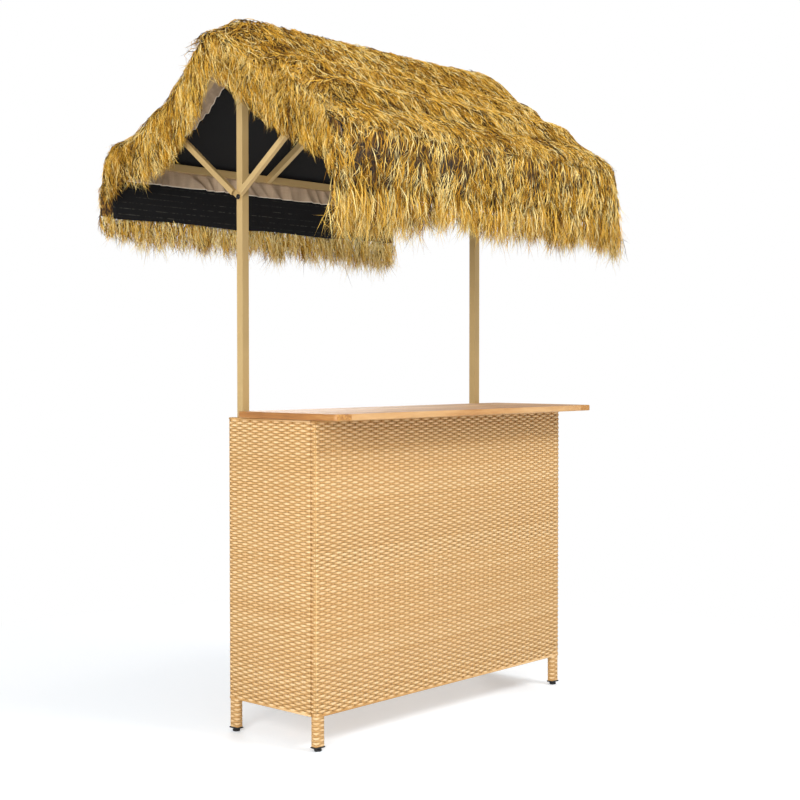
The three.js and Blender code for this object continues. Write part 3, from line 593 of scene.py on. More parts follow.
def woven_panel(name, node, route, legs, seed, part=(0.0, 1.0)):
    """part is the share of the panel's rows that this piece has, from the bottom."""
    rng = np.random.default_rng(seed)
    heights = row_heights(PANEL_LOW + EDGE_HIGH, PANEL_HIGH - EDGE_HIGH)
    first, last = (2 * round(len(heights) * share / 2) for share in part)
    low, high = (PANEL_LOW + (PANEL_HIGH - PANEL_LOW) * share for share in part)
    meshes = [weave_rows(name, route, heights[first:last], rng), weave_stakes(name, route, low, high, rng)]
    if part[0] == 0:
        meshes.append(edge_strip(name, route, PANEL_LOW + EDGE_HIGH / 2, 9))
    if part[1] == 1:
        meshes.append(edge_strip(name, route, PANEL_HIGH - EDGE_HIGH / 2, 11))
    for leg in legs:
        meshes.append(weave_rows(name, leg_route(*leg), row_heights(SLEEVE_LOW, PANEL_LOW), rng, closed=True))
    piece = join_meshes(name, meshes, soft["wicker"])
    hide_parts(node)
    print(name, triangles(piece), "triangles")


FRONT_LEG_X, FRONT_LEG_Y = HALF - LEG / 2, FRONT + DEEP / 2
BACK_LEG_X, BACK_LEG_Y = HALF - DEEP / 2, BACK - LEG / 2
woven_panel("front_wicker", "front_panel_weave", front_route(),
            [(side * FRONT_LEG_X, FRONT_LEG_Y, LEG, DEEP) for side in (-1, 1)], 1, part=(0.0, 0.5))
woven_panel("front_wicker_upper", "front_panel_weave", front_route(), [], 4, part=(0.5, 1.0))
for seed, side, sign in ((2, "left", -1), (3, "right", 1)):
    woven_panel(side + "_wicker", side + "_panel_weave", end_route(sign),
                [(sign * BACK_LEG_X, BACK_LEG_Y, DEEP, LEG)], seed)

# %% [markdown]
# ## Shelves
# Behind the front panel two open shelves carry bottles. The frame of each is kept in its form: a copy of
# the node is opened in edit mode and its deck lowered, and rows of the same wicker are laid on it.
# A textured flat deck would give itself away at the edge, where the rows turn down over the rim.

# %% Woven shelves
SHELF_COLUMN, SHELF_LEVEL = 6, 0.7   # a shelf's rim in the strand map
ROW_INSET, STAKE_INSET, END_INSET = 0.003, 0.002, 0.001


@contextmanager
def edit_mode(select=None):
    """Edit mode on the active object. select is SELECT or DESELECT, to start with all points or none."""
    bpy.ops.object.mode_set(mode="EDIT")
    if select:
        bpy.ops.mesh.select_all(action=select)
    yield
    bpy.ops.object.mode_set(mode="OBJECT")


def copy_of(node, name, material):
    """A copy of a node of the frame with its loose triangles merged into one skin."""
    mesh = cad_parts[node].data.copy()
    mesh.name = name
    obj = add_piece(name, mesh, material)
    choose(obj)
    with edit_mode("SELECT"):
        bpy.ops.mesh.remove_doubles(threshold=0.00001)
    return obj


def move_points(obj, wanted, operator, **settings):
    """Runs one transform on the points of the active object whose height is wanted."""
    with edit_mode("DESELECT"):
        pass
    for vertex in obj.data.vertices:
        vertex.select = wanted(vertex.co.z)
    with edit_mode():
        operator(**settings)


def column_map(obj):
    """Puts every face of a plain body in one column of the strand map, at one level."""
    mesh = obj.data
    while mesh.uv_layers:
        mesh.uv_layers.remove(mesh.uv_layers[0])
    spots = np.zeros((len(mesh.loops), 2))
    for face in mesh.polygons:
        for place, loop in enumerate(face.loop_indices):
            turn = 2 * math.pi * place / face.loop_total
            spots[loop] = ((SHELF_COLUMN + 0.5 + 0.3 * math.cos(turn)) / COLUMNS,
                           SHELF_LEVEL + 0.02 * math.sin(turn))
    add_map(mesh, spots)


def woven_shelf(name, node, seed):
    rng = np.random.default_rng(seed)
    low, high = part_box(node)
    rim = copy_of(node, name, soft["wicker"])
    move_points(rim, lambda z: z > high.z - 0.0005, bpy.ops.transform.translate,
                value=(0, 0, -2 * SKIN - 0.0002))
    column_map(rim)
    level = high.z - SKIN
    deep = high.y - low.y - 2 * ROW_INSET
    rows = round(deep / ROW_PITCH)
    lines = low.y + ROW_INSET + (np.arange(rows) + 0.5) * deep / rows
    marks = np.linspace(low.x + END_INSET, high.x - END_INSET, 3 * round((high.x - low.x) / STAKE) + 1)
    wave = over_under(marks, STAKE, rows)
    section = ROW_SECTION[::-1]
    rings = rings_of(marks[:, None], lines[:, None, None] + ROW_PITCH * section[:, 1],
                     level + SWAY * wave[:, :, None] + ROW_THICK * section[:, 0])
    wanted = np.arange(math.ceil(low.x / STAKE), math.floor(high.x / STAKE) + 1) * STAKE
    stakes = rings_of(wanted[:, None, None] + STAKE_SECTION[:, 1],
                      np.array([low.y + STAKE_INSET, high.y - STAKE_INSET])[:, None],
                      level + STAKE_THICK * STAKE_SECTION[:, 0])
    strands = join_meshes(name + "_strands", [row_mesh(name + "_rows", rings, wave, rng),
                                              stake_mesh(name + "_stakes", stakes, rng)], soft["wicker"])
    shelf = join(rim, strands)
    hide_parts(node)
    print(name, triangles(shelf), "triangles")


woven_shelf("lower_woven_shelf", "lower_shelf", 20)
woven_shelf("upper_woven_shelf", "upper_shelf", 21)

# %% [markdown]
# ## Fabric cover
# Below the thatch lies one sheet of dark woven polyester. It is sewn as a strip that goes over the ridge,
# down both slopes and past the eave rails as an upright valance. It is pulled tight over beam and
# rails, sags a few millimetres between the rafters, and its free valance waves a little.
# One grid is bent along the whole strip, so that the sheet stays in one piece, as real cloth does.

# %% Fabric finishes
# colour of the painted shade in the creases
CREASE_SHADE = (0.03, 0.02, 0.014)


def weave_cloth(name, dark, light, pitch, roughness, rows=None, crease_shade=0.0):
    """rows is the height between lines of stitching on the upright parts, the y where these start and
    their colour. The last argument is how dark the painted shade in the upright creases is."""
    finish = Finish(name, srgb(*dark), roughness, sheen_weight=0.03, sheen_roughness=0.5)
    finish.set("Specular IOR Level", 0.2)
    thread = {"Vector": finish.place((1 / pitch, 1 / pitch, 1 / pitch)), "Scale": 0.5, "Distortion": 0.6,
              "Detail": 1.0}
    warp, weft = (finish.node("TexWave", thread, output="Fac", bands_direction=way) for way in "XZ")
    tone = warp * 0.15 + weft * 0.15 + finish.streaks((30, 30, 420), 3.0) * 0.4
    cloth = finish.ramp(tone + finish.streaks((420, 30, 30), 3.0) * 0.3, (0.3, dark), (0.72, light))
    height = warp * 0.5 + weft * 0.5
    if rows:
        y, z = (finish.axis(finish.place(), number) for number in (1, 2))
        line = finish.clamp(z.maths("PINGPONG", z, rows[0] / 2), 0.0006, 0.0016, 1.0, 0.0)
        dash = finish.clamp(finish.streaks((95, 1, 60)), 0.46, 0.56)
        patch = finish.clamp(finish.streaks((5, 5, 30)), 0.4, 0.62)
        stitch = line * dash * patch * finish.clamp(y * y, rows[1] ** 2, rows[1] ** 2 + 0.002)
        cloth = finish.mix(stitch, cloth, srgb(*rows[2]))
        height = height + stitch * 1.5
    # painted shade in the upright creases, from a noise that also drives the bump
    if crease_shade:
        crease = finish.streaks((30, 30, 3.5))
        cloth = finish.mix(finish.clamp(crease, 0.4, 0.62, crease_shade, 0.0), cloth, CREASE_SHADE)
        height = height + crease * 2.0
    finish.set("Base Color", cloth)
    finish.bump(height, 0.0004, 0.6)
    return finish.material


soft["black_fabric"] = weave_cloth("black_fabric", (11, 11, 12), (22, 22, 24), 0.0016, 0.85,
                                   rows=(0.021, 0.53, (68, 66, 60)))
soft["beige_fabric"] = weave_cloth("beige_fabric", (176, 151, 124), (200, 177, 150), 0.0012, 0.8, crease_shade=0.25)
soft["piping"] = weave_cloth("piping_fabric", (222, 206, 186), (240, 228, 210), 0.0012, 0.7)
print("fabrics", sorted(soft))

# %% The cover
cover_low, cover_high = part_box("roof_cover")
RIDGE_Z, VALANCE_Y = cover_high.z, cover_high.y
FLAT_TOP = 0.0135   # half the flat strip over the ridge beam
rail_low, rail_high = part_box("eave_rail_front")
SLOPE = (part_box("ridge_beam")[1].z - rail_high.z) / (-rail_low.y - FLAT_TOP)
SLOPE_STEPS, DROP_STEPS, LONG_STEPS = 26, 12, 96
CLOTH = 0.0014
BEND = 0.006   # radius of the bend over the eave rail
EDGE_PLACES = np.array([0.0, 0.29, 0.56, 0.83, 0.92, 1.0])
EDGE_PULL = 0.09 * np.array([0.0, 0.7, 1.0, 0.85, 0.0, 0.0])
RAFTER_STEP, RAFTER_END = 0.5954, 0.612   # the rafters stand this far apart, and the cloth lies on them to here
EDGE_DROP = 0.3   # how steeply the cloth falls beyond them
RAIL_INSIDE = 0.53
VALANCE_TOP, VALANCE_WAVE = 1.80, 0.008
SAG, HEM_WAVE = 0.006, 0.003


def edge_at(y):
    """Half the cover's length: held out at the ridge and the rails, and pulled in between them."""
    return cover_high.x - np.interp(rise(np.abs(y), FLAT_TOP, VALANCE_Y - FLAT_TOP), EDGE_PLACES, EDGE_PULL)


def cover_line():
    """Half the strip from the ridge to the hem: distance from the ridge plane, and height."""
    y = FLAT_TOP + (VALANCE_Y - CLOTH - BEND - FLAT_TOP) * np.linspace(0, 1, SLOPE_STEPS + 1)
    z = RIDGE_Z - CLOTH - (y - FLAT_TOP) * SLOPE
    angle = np.linspace(0, 1, 5)[1:] * (math.pi / 2 - math.atan(SLOPE))
    z_bend = z[-1] - BEND * (1 - np.cos(angle)) - SLOPE * 0.001
    drop = np.linspace(z_bend[-1], cover_low.z + 0.0004, DROP_STEPS + 1)[1:]
    return (np.concatenate([[0.0], y, y[-1] + BEND * np.sin(angle), np.full(len(drop), VALANCE_Y - CLOTH)]),
            np.concatenate([[RIDGE_Z - CLOTH], z, z_bend, drop]))


def cloth_piece(name, grid, material, thick, spread=None):
    """One smooth sheet from a grid of points, with the cloth's thickness. spread is its UV map."""
    long, wide, _ = grid.shape
    row, col = np.meshgrid(np.arange(long - 1), np.arange(wide - 1), indexing="ij")
    corner = row * wide + col
    quads = np.stack([corner, corner + wide, corner + wide + 1, corner + 1], -1)
    mesh = bpy.data.meshes.new(name)
    mesh.from_pydata(grid.reshape(-1, 3).tolist(), [], quads.reshape(-1, 4).tolist())
    if spread is not None:
        order = np.zeros(len(mesh.loops), dtype=np.int32)
        mesh.loops.foreach_get("vertex_index", order)
        add_map(mesh, spread.reshape(-1, 2)[order])
    obj = add_piece(name, mesh, soft[material])
    choose(obj)
    bpy.ops.object.shade_smooth()
    wall = obj.modifiers.new("wall", "SOLIDIFY")
    wall.thickness, wall.offset = thick, 0.0
    bpy.ops.object.modifier_apply(modifier="wall")
    return obj


def grid_area(grid):
    edge_a, edge_b = grid[1:, :-1] - grid[:-1, :-1], grid[:-1, 1:] - grid[:-1, :-1]
    return float(np.linalg.norm(np.cross(edge_a, edge_b), axis=-1).sum())


def make_cover():
    half_y, half_z = cover_line()
    line_y = np.concatenate([-half_y[::-1], half_y[1:]])
    line_z = np.concatenate([half_z[::-1], half_z[1:]])
    part, y = np.meshgrid(np.linspace(-1, 1, LONG_STEPS + 1), line_y, indexing="ij")
    z = np.repeat(line_z[None], len(part), 0)
    x = part * edge_at(y) * (1 - 0.03 * rise(-z, -1.9, 0.04))
    far = np.abs(y)
    slack = np.clip(np.sin(math.pi * rise(far, 0.03, 0.5)), 0, 1)
    bay = np.abs(np.sin(math.pi * x / RAFTER_STEP))
    z = z - SAG * slack * bay * (far < RAIL_INSIDE)
    z = z - EDGE_DROP * slack * np.clip(np.abs(x) - RAFTER_END, 0, None)
    hang = rise(-z, -VALANCE_TOP, 0.115)
    wave = 0.5 + 0.5 * np.sin(x * 21 + np.sign(y) * 1.3 + 0.9 * np.sin(x * 7.3))
    y = y - np.sign(y) * hang ** 1.5 * VALANCE_WAVE * wave
    z = z + hang ** 2 * HEM_WAVE * np.sin(x * 13 + 0.7)
    down = np.repeat(np.linspace(0.01, 0.99, len(line_y))[None], len(part), 0)
    obj = cloth_piece("roof_cover_sheet", np.stack([x, y, z], -1), "black_fabric", CLOTH,
                      spread=np.stack([0.5 + 0.49 * part, down], -1))
    step = np.hypot(np.diff(line_y), np.diff(line_z))
    wide_at = 2 * edge_at(line_y)
    area = float((step * (wide_at[1:] + wide_at[:-1]) / 2).sum())
    flat = (round(cover_high.x - cover_low.x, 3), round(float(step.sum()), 3))
    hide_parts("roof_cover")
    print("cover strip", flat[0], "by", flat[1], "area", round(area, 3), triangles(obj), "triangles")


make_cover()

# %% [markdown]
# ## Lining
# A gathered beige flap hangs inside each valance, with a pale piping sewn along its lower edge. At
# the ends it curves up to the rail. The folds are deepest at the free edge and die out at the rail.

# %% Lining flaps and their piping
LINING_CLOTH, PIPING_RADIUS = 0.0009, 0.0016
FOLD_PITCH, FOLD_DEPTH = 0.13, 0.034
FLAP_CORNER = 0.075   # length of the curve at each end
FLAP_STEPS, FLAP_ROWS = 281, 12


def piping(name, path):
    """A round cord sewn to an edge: a poly curve with a bevel, made a mesh."""
    curve = bpy.data.curves.new(name, "CURVE")
    curve.dimensions = "3D"
    line = curve.splines.new("POLY")
    line.points.add(len(path) - 1)
    for point, spot in zip(line.points, path):
        point.co = (*spot, 1.0)
    curve.bevel_depth, curve.bevel_resolution, curve.use_fill_caps = PIPING_RADIUS, 1, True
    obj = bpy.data.objects.new(name, curve)
    bpy.context.collection.objects.link(obj)
    choose(obj)
    bpy.ops.object.convert(target="MESH")
    obj.data.materials.clear()
    obj.data.materials.append(soft["piping"])
    bpy.ops.object.shade_smooth()
    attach(obj, "hut")
    return obj


def make_lining(side, sign):
    low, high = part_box("roof_lining_" + side)
    x = np.linspace(low.x, high.x, FLAP_STEPS)
    near_end = 1 - rise(np.minimum(x - low.x, high.x - x), 0.0, FLAP_CORNER)
    lower = low.z + (high.z - low.z - 0.004) * (1 - np.sqrt(np.clip(1 - near_end ** 2, 0, 1))) * 0.96
    drop = np.linspace(0, 1, FLAP_ROWS)
    z = high.z - (high.z - lower)[:, None] * drop[None]
    still = 0 * x
    drift = 1.6 * lumps(x / 0.21, still + 3.3, 33 + sign)
    slant = lumps(x / 0.16, still + 5.1, 37 + sign)
    phase = (2 * math.pi / FOLD_PITCH * (x[:, None] + 0.07 * drop[None] * slant[:, None])
             + 4.2 * drift[:, None])
    folds = 0.5 + 0.5 * np.sin(phase)
    small = 1 - np.abs(np.sin(1.15 * phase + 0.8))
    strong = 0.8 + 0.6 * lumps(x / 0.17, still + 8.6, 35 + sign)
    pleat = np.clip((0.5 * folds ** 1.5 + 0.6 * small) * strong[:, None], 0, 1)
    outer = max(abs(low.y), abs(high.y)) - 0.001
    y = sign * (outer - (FOLD_DEPTH * (0.1 + 0.9 * drop[None] ** 1.1) * pleat + 0.001))
    grid = rings_of(x[:, None], y, z)
    obj = cloth_piece("lining_" + side, grid, "beige_fabric", LINING_CLOTH)
    across = float(np.hypot(np.diff(x), np.diff(y[:, -1])).sum())
    cord = piping("lining_piping_" + side, grid[:, -1])
    area = round(grid_area(grid), 4)
    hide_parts("roof_lining_" + side)
    print(obj.name, "flat", round(across, 3), "area", area, triangles(obj), "triangles")


for side, sign in (("front", -1), ("back", 1)):
    make_lining(side, sign)

# %% [markdown]
# ## Gable strips
# Under each gable edge a beige strip wraps below the end rafter and ends in a free edge with piping.
# It is one grid whose columns run from the cover's edge under the rafter to the free edge, which
# hangs a little lower. The strip widens down the slope and narrows again, so the piping makes an S.

# %% Strips under the gable edges
HEM_PLACES = np.array([0.0, 0.12, 0.25, 0.42, 0.6, 0.8, 0.95])
HEM_X = np.array([0.572, 0.57, 0.556, 0.534, 0.532, 0.552, 0.574])
WRAP_OUT, WRAP_IN = 0.625, 0.583   # where the strip goes down and comes up round the rafter


def make_gable_strip(side, sign, end_name, end):
    share = np.linspace(0.015, 0.905, 72)
    smooth = np.pad(np.interp(share, HEM_PLACES, HEM_X), 5, mode="edge")
    smooth = np.convolve(smooth, np.ones(11) / 11, mode="valid")
    reach = FLAT_TOP + share * (VALANCE_Y - FLAT_TOP)
    under = RIDGE_Z - 2 * CLOTH - (reach - FLAT_TOP) * SLOPE
    edge = edge_at(reach) - 0.004
    slack = np.sin(math.pi * share)
    pucker = 0.004 * np.sin(share * 95 + sign) + 0.003 * np.sin(share * 41 + 2 * end)
    still = 0 * edge
    columns = [(edge, under - 0.003 - EDGE_DROP * slack * (edge - RAFTER_END)),
               (0.5 * edge + 0.5 * WRAP_OUT, under - 0.010 - 0.12 * slack * (edge - RAFTER_END)),
               (still + WRAP_OUT, under - 0.014), (still + 0.6105, under - 0.026),
               (still + 0.597, under - 0.0285), (still + WRAP_IN, under - 0.030),
               (0.6 * WRAP_IN + 0.4 * smooth, under - 0.034 - pucker * 0.3),
               (0.2 * WRAP_IN + 0.8 * smooth, under - 0.042 - pucker * 0.7),
               (smooth, under - 0.048 - pucker)]
    x, z = (np.stack(lines, 1) for lines in zip(*columns))
    grid = np.stack([end * x, sign * np.repeat(reach[:, None], len(columns), 1), z], -1)
    corner = side + "_" + end_name
    obj = cloth_piece("gable_strip_" + corner, grid, "beige_fabric", LINING_CLOTH)
    cord = piping("piping_" + corner, grid[:, -1])


for side, sign in (("front", -1), ("back", 1)):
    for end_name, end in (("left", -1), ("right", 1)):
        make_gable_strip(side, sign, end_name, end)

# %% [markdown]
# ## Thatch
# The roof is covered with golden raffia: thin curly stems in tufts, sewn in rows that lap like shingles.
# Light comes off the stem ends and the gaps between tufts are nearly black. A hair system would look
# right but can't be exported, so every stem is a slim closed mesh with three sides that ends in a
# point. Each stem grows from the surface of its tier, first outwards, then down the slope, and curls.

# %% Raffia finish
STEM_TONES = ((0.0, (46, 27, 5)), (0.18, (106, 67, 12)), (0.36, (184, 130, 29)),
              (0.55, (224, 170, 54)), (0.8, (246, 204, 98)), (1.0, (255, 234, 164)))
# the darkest tones are painted shade in the gaps between the fibres, and the dark cover seen through them
MAT_TONES = ((0.38, (18, 12, 7)), (0.49, (64, 42, 14)), (0.58, (146, 102, 32)), (0.7, (204, 154, 58)))


def raffia():
    """The column picks a stem's colour, and its foot is in the shade of its neighbours."""
    finish = Finish("raffia", srgb(206, 154, 56), 0.6)
    finish.set("Specular IOR Level", 0.25)
    column, along = finish.strand_map()
    shade = finish.grey(finish.clamp(along, 0.0, 0.34, 0.2, 1.0))
    finish.set("Base Color", finish.mix(1.0, finish.ramp(column, *STEM_TONES), shade, "MULTIPLY"))
    finish.set("Roughness", finish.clamp(along, 0.2, 1.0, 0.75, 0.5))
    finish.bump(finish.noise(finish.place(), 600.0), 0.0003, 0.4)
    return finish.material


def raffia_mat():
    """The packed fibres between and below the stems: streaks down the slope, with painted shade in the gaps.
    Painted shade darkens them low in the eaves, but not at the gables, where light falls in."""
    finish = Finish("raffia_mat", srgb(96, 66, 24), 0.8)
    tone = (finish.streaks((260, 45, 45), 3.0) * 0.7
            + finish.streaks((90, 160, 70), shift=(3.1, 0.7, 1.9)) * 0.3)
    # painted shade low in the eaves, lifted at the gable ends
    side, height = (finish.axis(finish.place(), number) for number in (0, 2))
    lit = finish.clamp(side * side, 0.46, 0.49)
    shade = finish.grey(lit.maths("MAXIMUM", finish.clamp(height, 1.79, 1.87, 0.4, 1.0), lit))
    finish.set("Base Color", finish.mix(1.0, finish.ramp(tone, *MAT_TONES), shade, "MULTIPLY"))
    finish.bump(tone, 0.006, 0.8)
    return finish.material


soft["raffia"] = raffia()
soft["raffia_mat"] = raffia_mat()
print("raffia ready")

# %% Where stems grow
MAP_X, MAP_Y = 0.01, 0.006   # steps of the height map
ABOVE = 3.0   # a height above the whole hut
CORNER_ROUND, CAP_SINK, RIDGE_FULL = 0.018, 0.06, 0.02   # how far settle moves points
# Where it does: a start and a width. A corner has them for its height, its x and its y.
CAP_END, CAP_LOOSE = (0.61, 0.12), (0.006, 0.075)
CORNER = ((1.79, 0.05), (0.66, 0.08), (0.44, 0.08))
RIDGE_X, RIDGE_Y = (0.35, 0.3), (-0.3, 0.25)
STEM_DRAW, MAT_DRAW = 0.22, 0.4   # the share by which a gable's fringe is shortened
OPEN_AIR, SKIP = 0.05, 0.003   # a spot shows where nothing lies within this, past a small skip


def settle(points):
    """The cap is thick along the ridge and thins out to a rounded end over the left gable,
    and the four corners of the eaves are rounded."""
    x, y, z = points[..., 0], np.abs(points[..., 1]), points[..., 2]
    end = rise(-x, *CAP_END)
    above = z - (RIDGE_Z - SLOPE * np.clip(y - FLAT_TOP, 0, None))
    loose = rise(above, *CAP_LOOSE) * np.clip(1.2 - y / 0.22, 0, 1)
    corner = rise(z, *CORNER[0]) * rise(np.abs(x), *CORNER[1]) * rise(y, *CORNER[2])
    full = rise(x, *RIDGE_X) * rise(-y, *RIDGE_Y) * np.clip(1.5 - np.abs(above) / 0.08, 0, 1)
    down = CAP_SINK * end * end * (3 - 2 * end) * loose - RIDGE_FULL * full
    return points - np.stack([CORNER_ROUND * corner * np.sign(x), 0 * z, down], -1)


def shaped(node, points, share):
    """A node's settled points. A gable's fringe is shortened by a share of how far it hangs."""
    points = settle(points)
    if "gable" not in node:
        return points
    below = RIDGE_Z - SLOPE * (np.abs(points[..., 1]) - FLAT_TOP) - points[..., 2]
    return points + np.stack([0 * below, 0 * below, share * np.clip(below - 0.03, 0, None)], -1)


def points_of(mesh):
    points = np.zeros(len(mesh.vertices) * 3)
    mesh.vertices.foreach_get("co", points)
    return points.reshape(-1, 3)


def skin_of(node):
    """The corner points of a node's triangles, as an array (triangles, 3, 3)."""
    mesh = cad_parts[node].data
    mesh.calc_loop_triangles()
    index = np.zeros(len(mesh.loop_triangles) * 3, dtype=np.int32)
    mesh.loop_triangles.foreach_get("vertices", index)
    return shaped(node, points_of(mesh), STEM_DRAW)[index.reshape(-1, 3)]


def thatch_tree():
    corners = np.concatenate([skin_of(node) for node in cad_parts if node.startswith("thatch")])
    faces = np.arange(len(corners) * 3).reshape(-1, 3)
    return BVHTree.FromPolygons(corners.reshape(-1, 3).tolist(), faces.tolist())


def top_map():
    """Height of the thatch's upper surface on a grid, looking straight down."""
    xs, ys = np.arange(-0.75, 0.751, MAP_X), np.arange(-0.6, 0.601, MAP_Y)
    heights = np.full((len(xs), len(ys)), -1.0)
    for i, x in enumerate(xs):
        for j, y in enumerate(ys):
            hit = tree.ray_cast(Vector((float(x), float(y), ABOVE)), Vector((0, 0, -1)))[0]
            if hit is not None:
                heights[i, j] = hit.z
    return xs, ys, heights


tree = thatch_tree()
map_x, map_y, map_z = top_map()


def top_at(x, y):
    i = np.clip(np.round((x - map_x[0]) / MAP_X).astype(int), 0, len(map_x) - 1)
    j = np.clip(np.round((y - map_y[0]) / MAP_Y).astype(int), 0, len(map_y) - 1)
    return map_z[i, j]


def outside_points(node, count, rng, faces_out):
    """Random points on the part of a tier that shows, with their normals."""
    corners = skin_of(node)
    normal = np.cross(corners[:, 1] - corners[:, 0], corners[:, 2] - corners[:, 0])
    area = np.linalg.norm(normal, axis=1) / 2
    normal = unit(normal)
    weight = area * faces_out(corners.mean(axis=1), normal)
    spots, normals, found = [], [], 0
    while found < count:
        pick = rng.choice(len(corners), count, p=weight / weight.sum())
        a, b = rng.random(count), rng.random(count)
        fold = a + b > 1
        a[fold], b[fold] = 1 - a[fold], 1 - b[fold]
        tri, n = corners[pick], normal[pick]
        spot = tri[:, 0] + (tri[:, 1] - tri[:, 0]) * a[:, None] + (tri[:, 2] - tri[:, 0]) * b[:, None]
        open_air = np.array([tree.ray_cast(Vector(p + SKIP * q), Vector(q), OPEN_AIR)[0] is None
                             for p, q in zip(spot, n)])
        behind = (n[:, 1] * spot[:, 1] < 0) & (spot[:, 2] > cover_low.z - 0.008) & (np.abs(n[:, 0]) < 0.5)
        open_air &= ~behind
        spots.append(spot[open_air])
        normals.append(n[open_air])
        found += int(open_air.sum())
    return np.concatenate(spots)[:count], np.concatenate(normals)[:count]


print("map", map_z.shape)

# %% Growing the stems
STEPS, FIBRES = 3, 3
STEM_RADIUS, FIBRE_RADIUS = 0.0012, 0.0009
TAPER = np.array([0.85, 1.0, 0.7])
BEHIND = VALANCE_Y + 0.0025   # stems stay outside the valance
VALANCE_END, VALANCE_LOW = 0.716, 1.682   # just past its ends and its hem
FREE = 1.71   # below this height the fringe hangs free
FRINGE_ROOT = 0.035   # the fringe's stems start this far above their spots
FAR_X, FAR_Y = cad_high.x + 0.018, cad_high.y + 0.02   # how far a stem's end may stray
REACH = 0.012   # how far a stem may stand off the tier's surface
TEETH_TOP, TEETH_LEFT = 1.695, 0.08   # below this the mat is drawn up to this share, so that only stems hang
HEM = 1.597   # the fringe's stems end about here
# Where the hem is shorter or longer, as a start and a width in x: short at the back's left end, and long
# over the back's right half, over the front's left half and at the front's right corner.
BACK_LEFT, BACK_RIGHT, FRONT_LEFT, FRONT_CORNER = (0.66, 0.07), (-0.1, 0.2), (0.2, 0.25), (0.64, 0.08)
SINK_FLAT, SINK_UPRIGHT, SINK_INNER = 0.007, 0.001, 0.004   # how deep the stems' roots lie
CLEAR = 0.002   # stems lie this far above the tier below them
UNDER_SLOPE, UNDER_EAVE = 0.13, 0.045   # points lower than this are on their way down inside
KINK_OFF = 0.6   # kinks off the surface are this share of those along it
TUFT_PULL = 0.021   # how far hanging stems draw together
# The inner fringe's stems and the fibres start high in the map, above the painted shade at the stems' feet.
INNER_FOOT, FIBRE_LEVEL = 0.8, 0.42   # heights in the strand map that keep these out of the dark
END_X = 0.62   # the roof's end faces lie beyond this
DOWN = np.array([0.0, 0.0, -1.0])


def keep_near(points, hang, reach=REACH):
    """Draws in the points that stray too far from the thatch, so that its outline stays soft and full.
    The fringe below the valance hangs free."""
    drawn = points.copy()
    for i, point in enumerate(points):
        if point[2] < FREE:
            continue
        near, out, _, far = tree.find_nearest(Vector(point), 0.3)
        if near is None:
            continue
        gap = Vector(point) - near
        most = hang[i] if -gap.z > 0.7 * far else reach
        if far > most and gap.dot(out) > 0:
            drawn[i] = near + gap * (most / far)
    return drawn


def at_end(spots, normals, beyond=0.6):
    """Which spots lie on a face that looks along x, near an end of the roof."""
    return (np.abs(normals[:, 0]) > 0.6) & (np.abs(spots[:, 0]) > beyond)


def headings(spots, normals, rng):
    """Which way each stem lies on the surface: down the slope, turned a little with its tuft."""
    flow = DOWN - normals * (normals @ DOWN)[:, None]
    x, y, z = spots.T
    level = np.linalg.norm(flow, axis=1) < 0.25
    away = np.stack([0 * y, np.sign(y + 1e-6), 0 * y], -1)
    flow[level] = away[level]
    flow = unit(flow - normals * np.sum(flow * normals, axis=1, keepdims=True))
    side = np.cross(normals, flow)
    tuft = lumps(x / 0.04 + 7, (y + z) / 0.055 + 5, 51)
    wide_tuft = lumps(x / 0.15 + 3, (y - z) / 0.18 + 9, 52)
    turn = 0.35 * tuft + 0.25 * wide_tuft + rng.normal(0, 0.3, len(spots))
    return flow * np.cos(turn)[:, None] + side * np.sin(turn)[:, None], tuft, wide_tuft


def fringe_ends(x, y, rng):
    """How low each of the fringe's stems hangs: an uneven hem, shorter or longer in places."""
    hem = HEM + 0.022 * lumps(x / 0.04, y * 9 + 2, 55) + 0.02 * lumps(x / 0.15 + 4, y * 9 + 3, 56)
    hem += 0.02 * rise(-x, *BACK_LEFT) * (y > 0) - 0.02 * rise(x, *BACK_RIGHT) * (y > 0)
    hem -= 0.06 * rise(-x, *FRONT_LEFT) * (y < 0)
    return hem - 0.04 * (rise(x, *FRONT_CORNER) * (y < 0)) + rng.uniform(-0.012, 0.05, len(x))


def above_roof(place, sides, rng):
    """Lifts the points that sink below the tier under them, apart from those of the gable sides,
    and keeps all of them inside the thatch's reach and outside the valance."""
    x, y, z = place.T.copy()
    roof = top_at(x, y) + CLEAR
    far = np.abs(y)
    cloth = RIDGE_Z - SLOPE * (far - FLAT_TOP)
    under = np.where(far < RAIL_INSIDE, cloth - UNDER_SLOPE, roof - UNDER_EAVE)
    sunk = (z < roof) & (z > under) & ~sides
    z[sunk] = roof[sunk] + rng.uniform(0, 0.004, int(sunk.sum()))
    x = np.clip(x, -FAR_X, FAR_X)
    in_cloth = (np.abs(x) < VALANCE_END) & (far > 0.52) & (z > VALANCE_LOW) & (z < VALANCE_TOP)
    far[in_cloth & (far < BEHIND)] = BEHIND
    return np.stack([x, np.sign(y) * np.minimum(far, FAR_Y), z], -1)


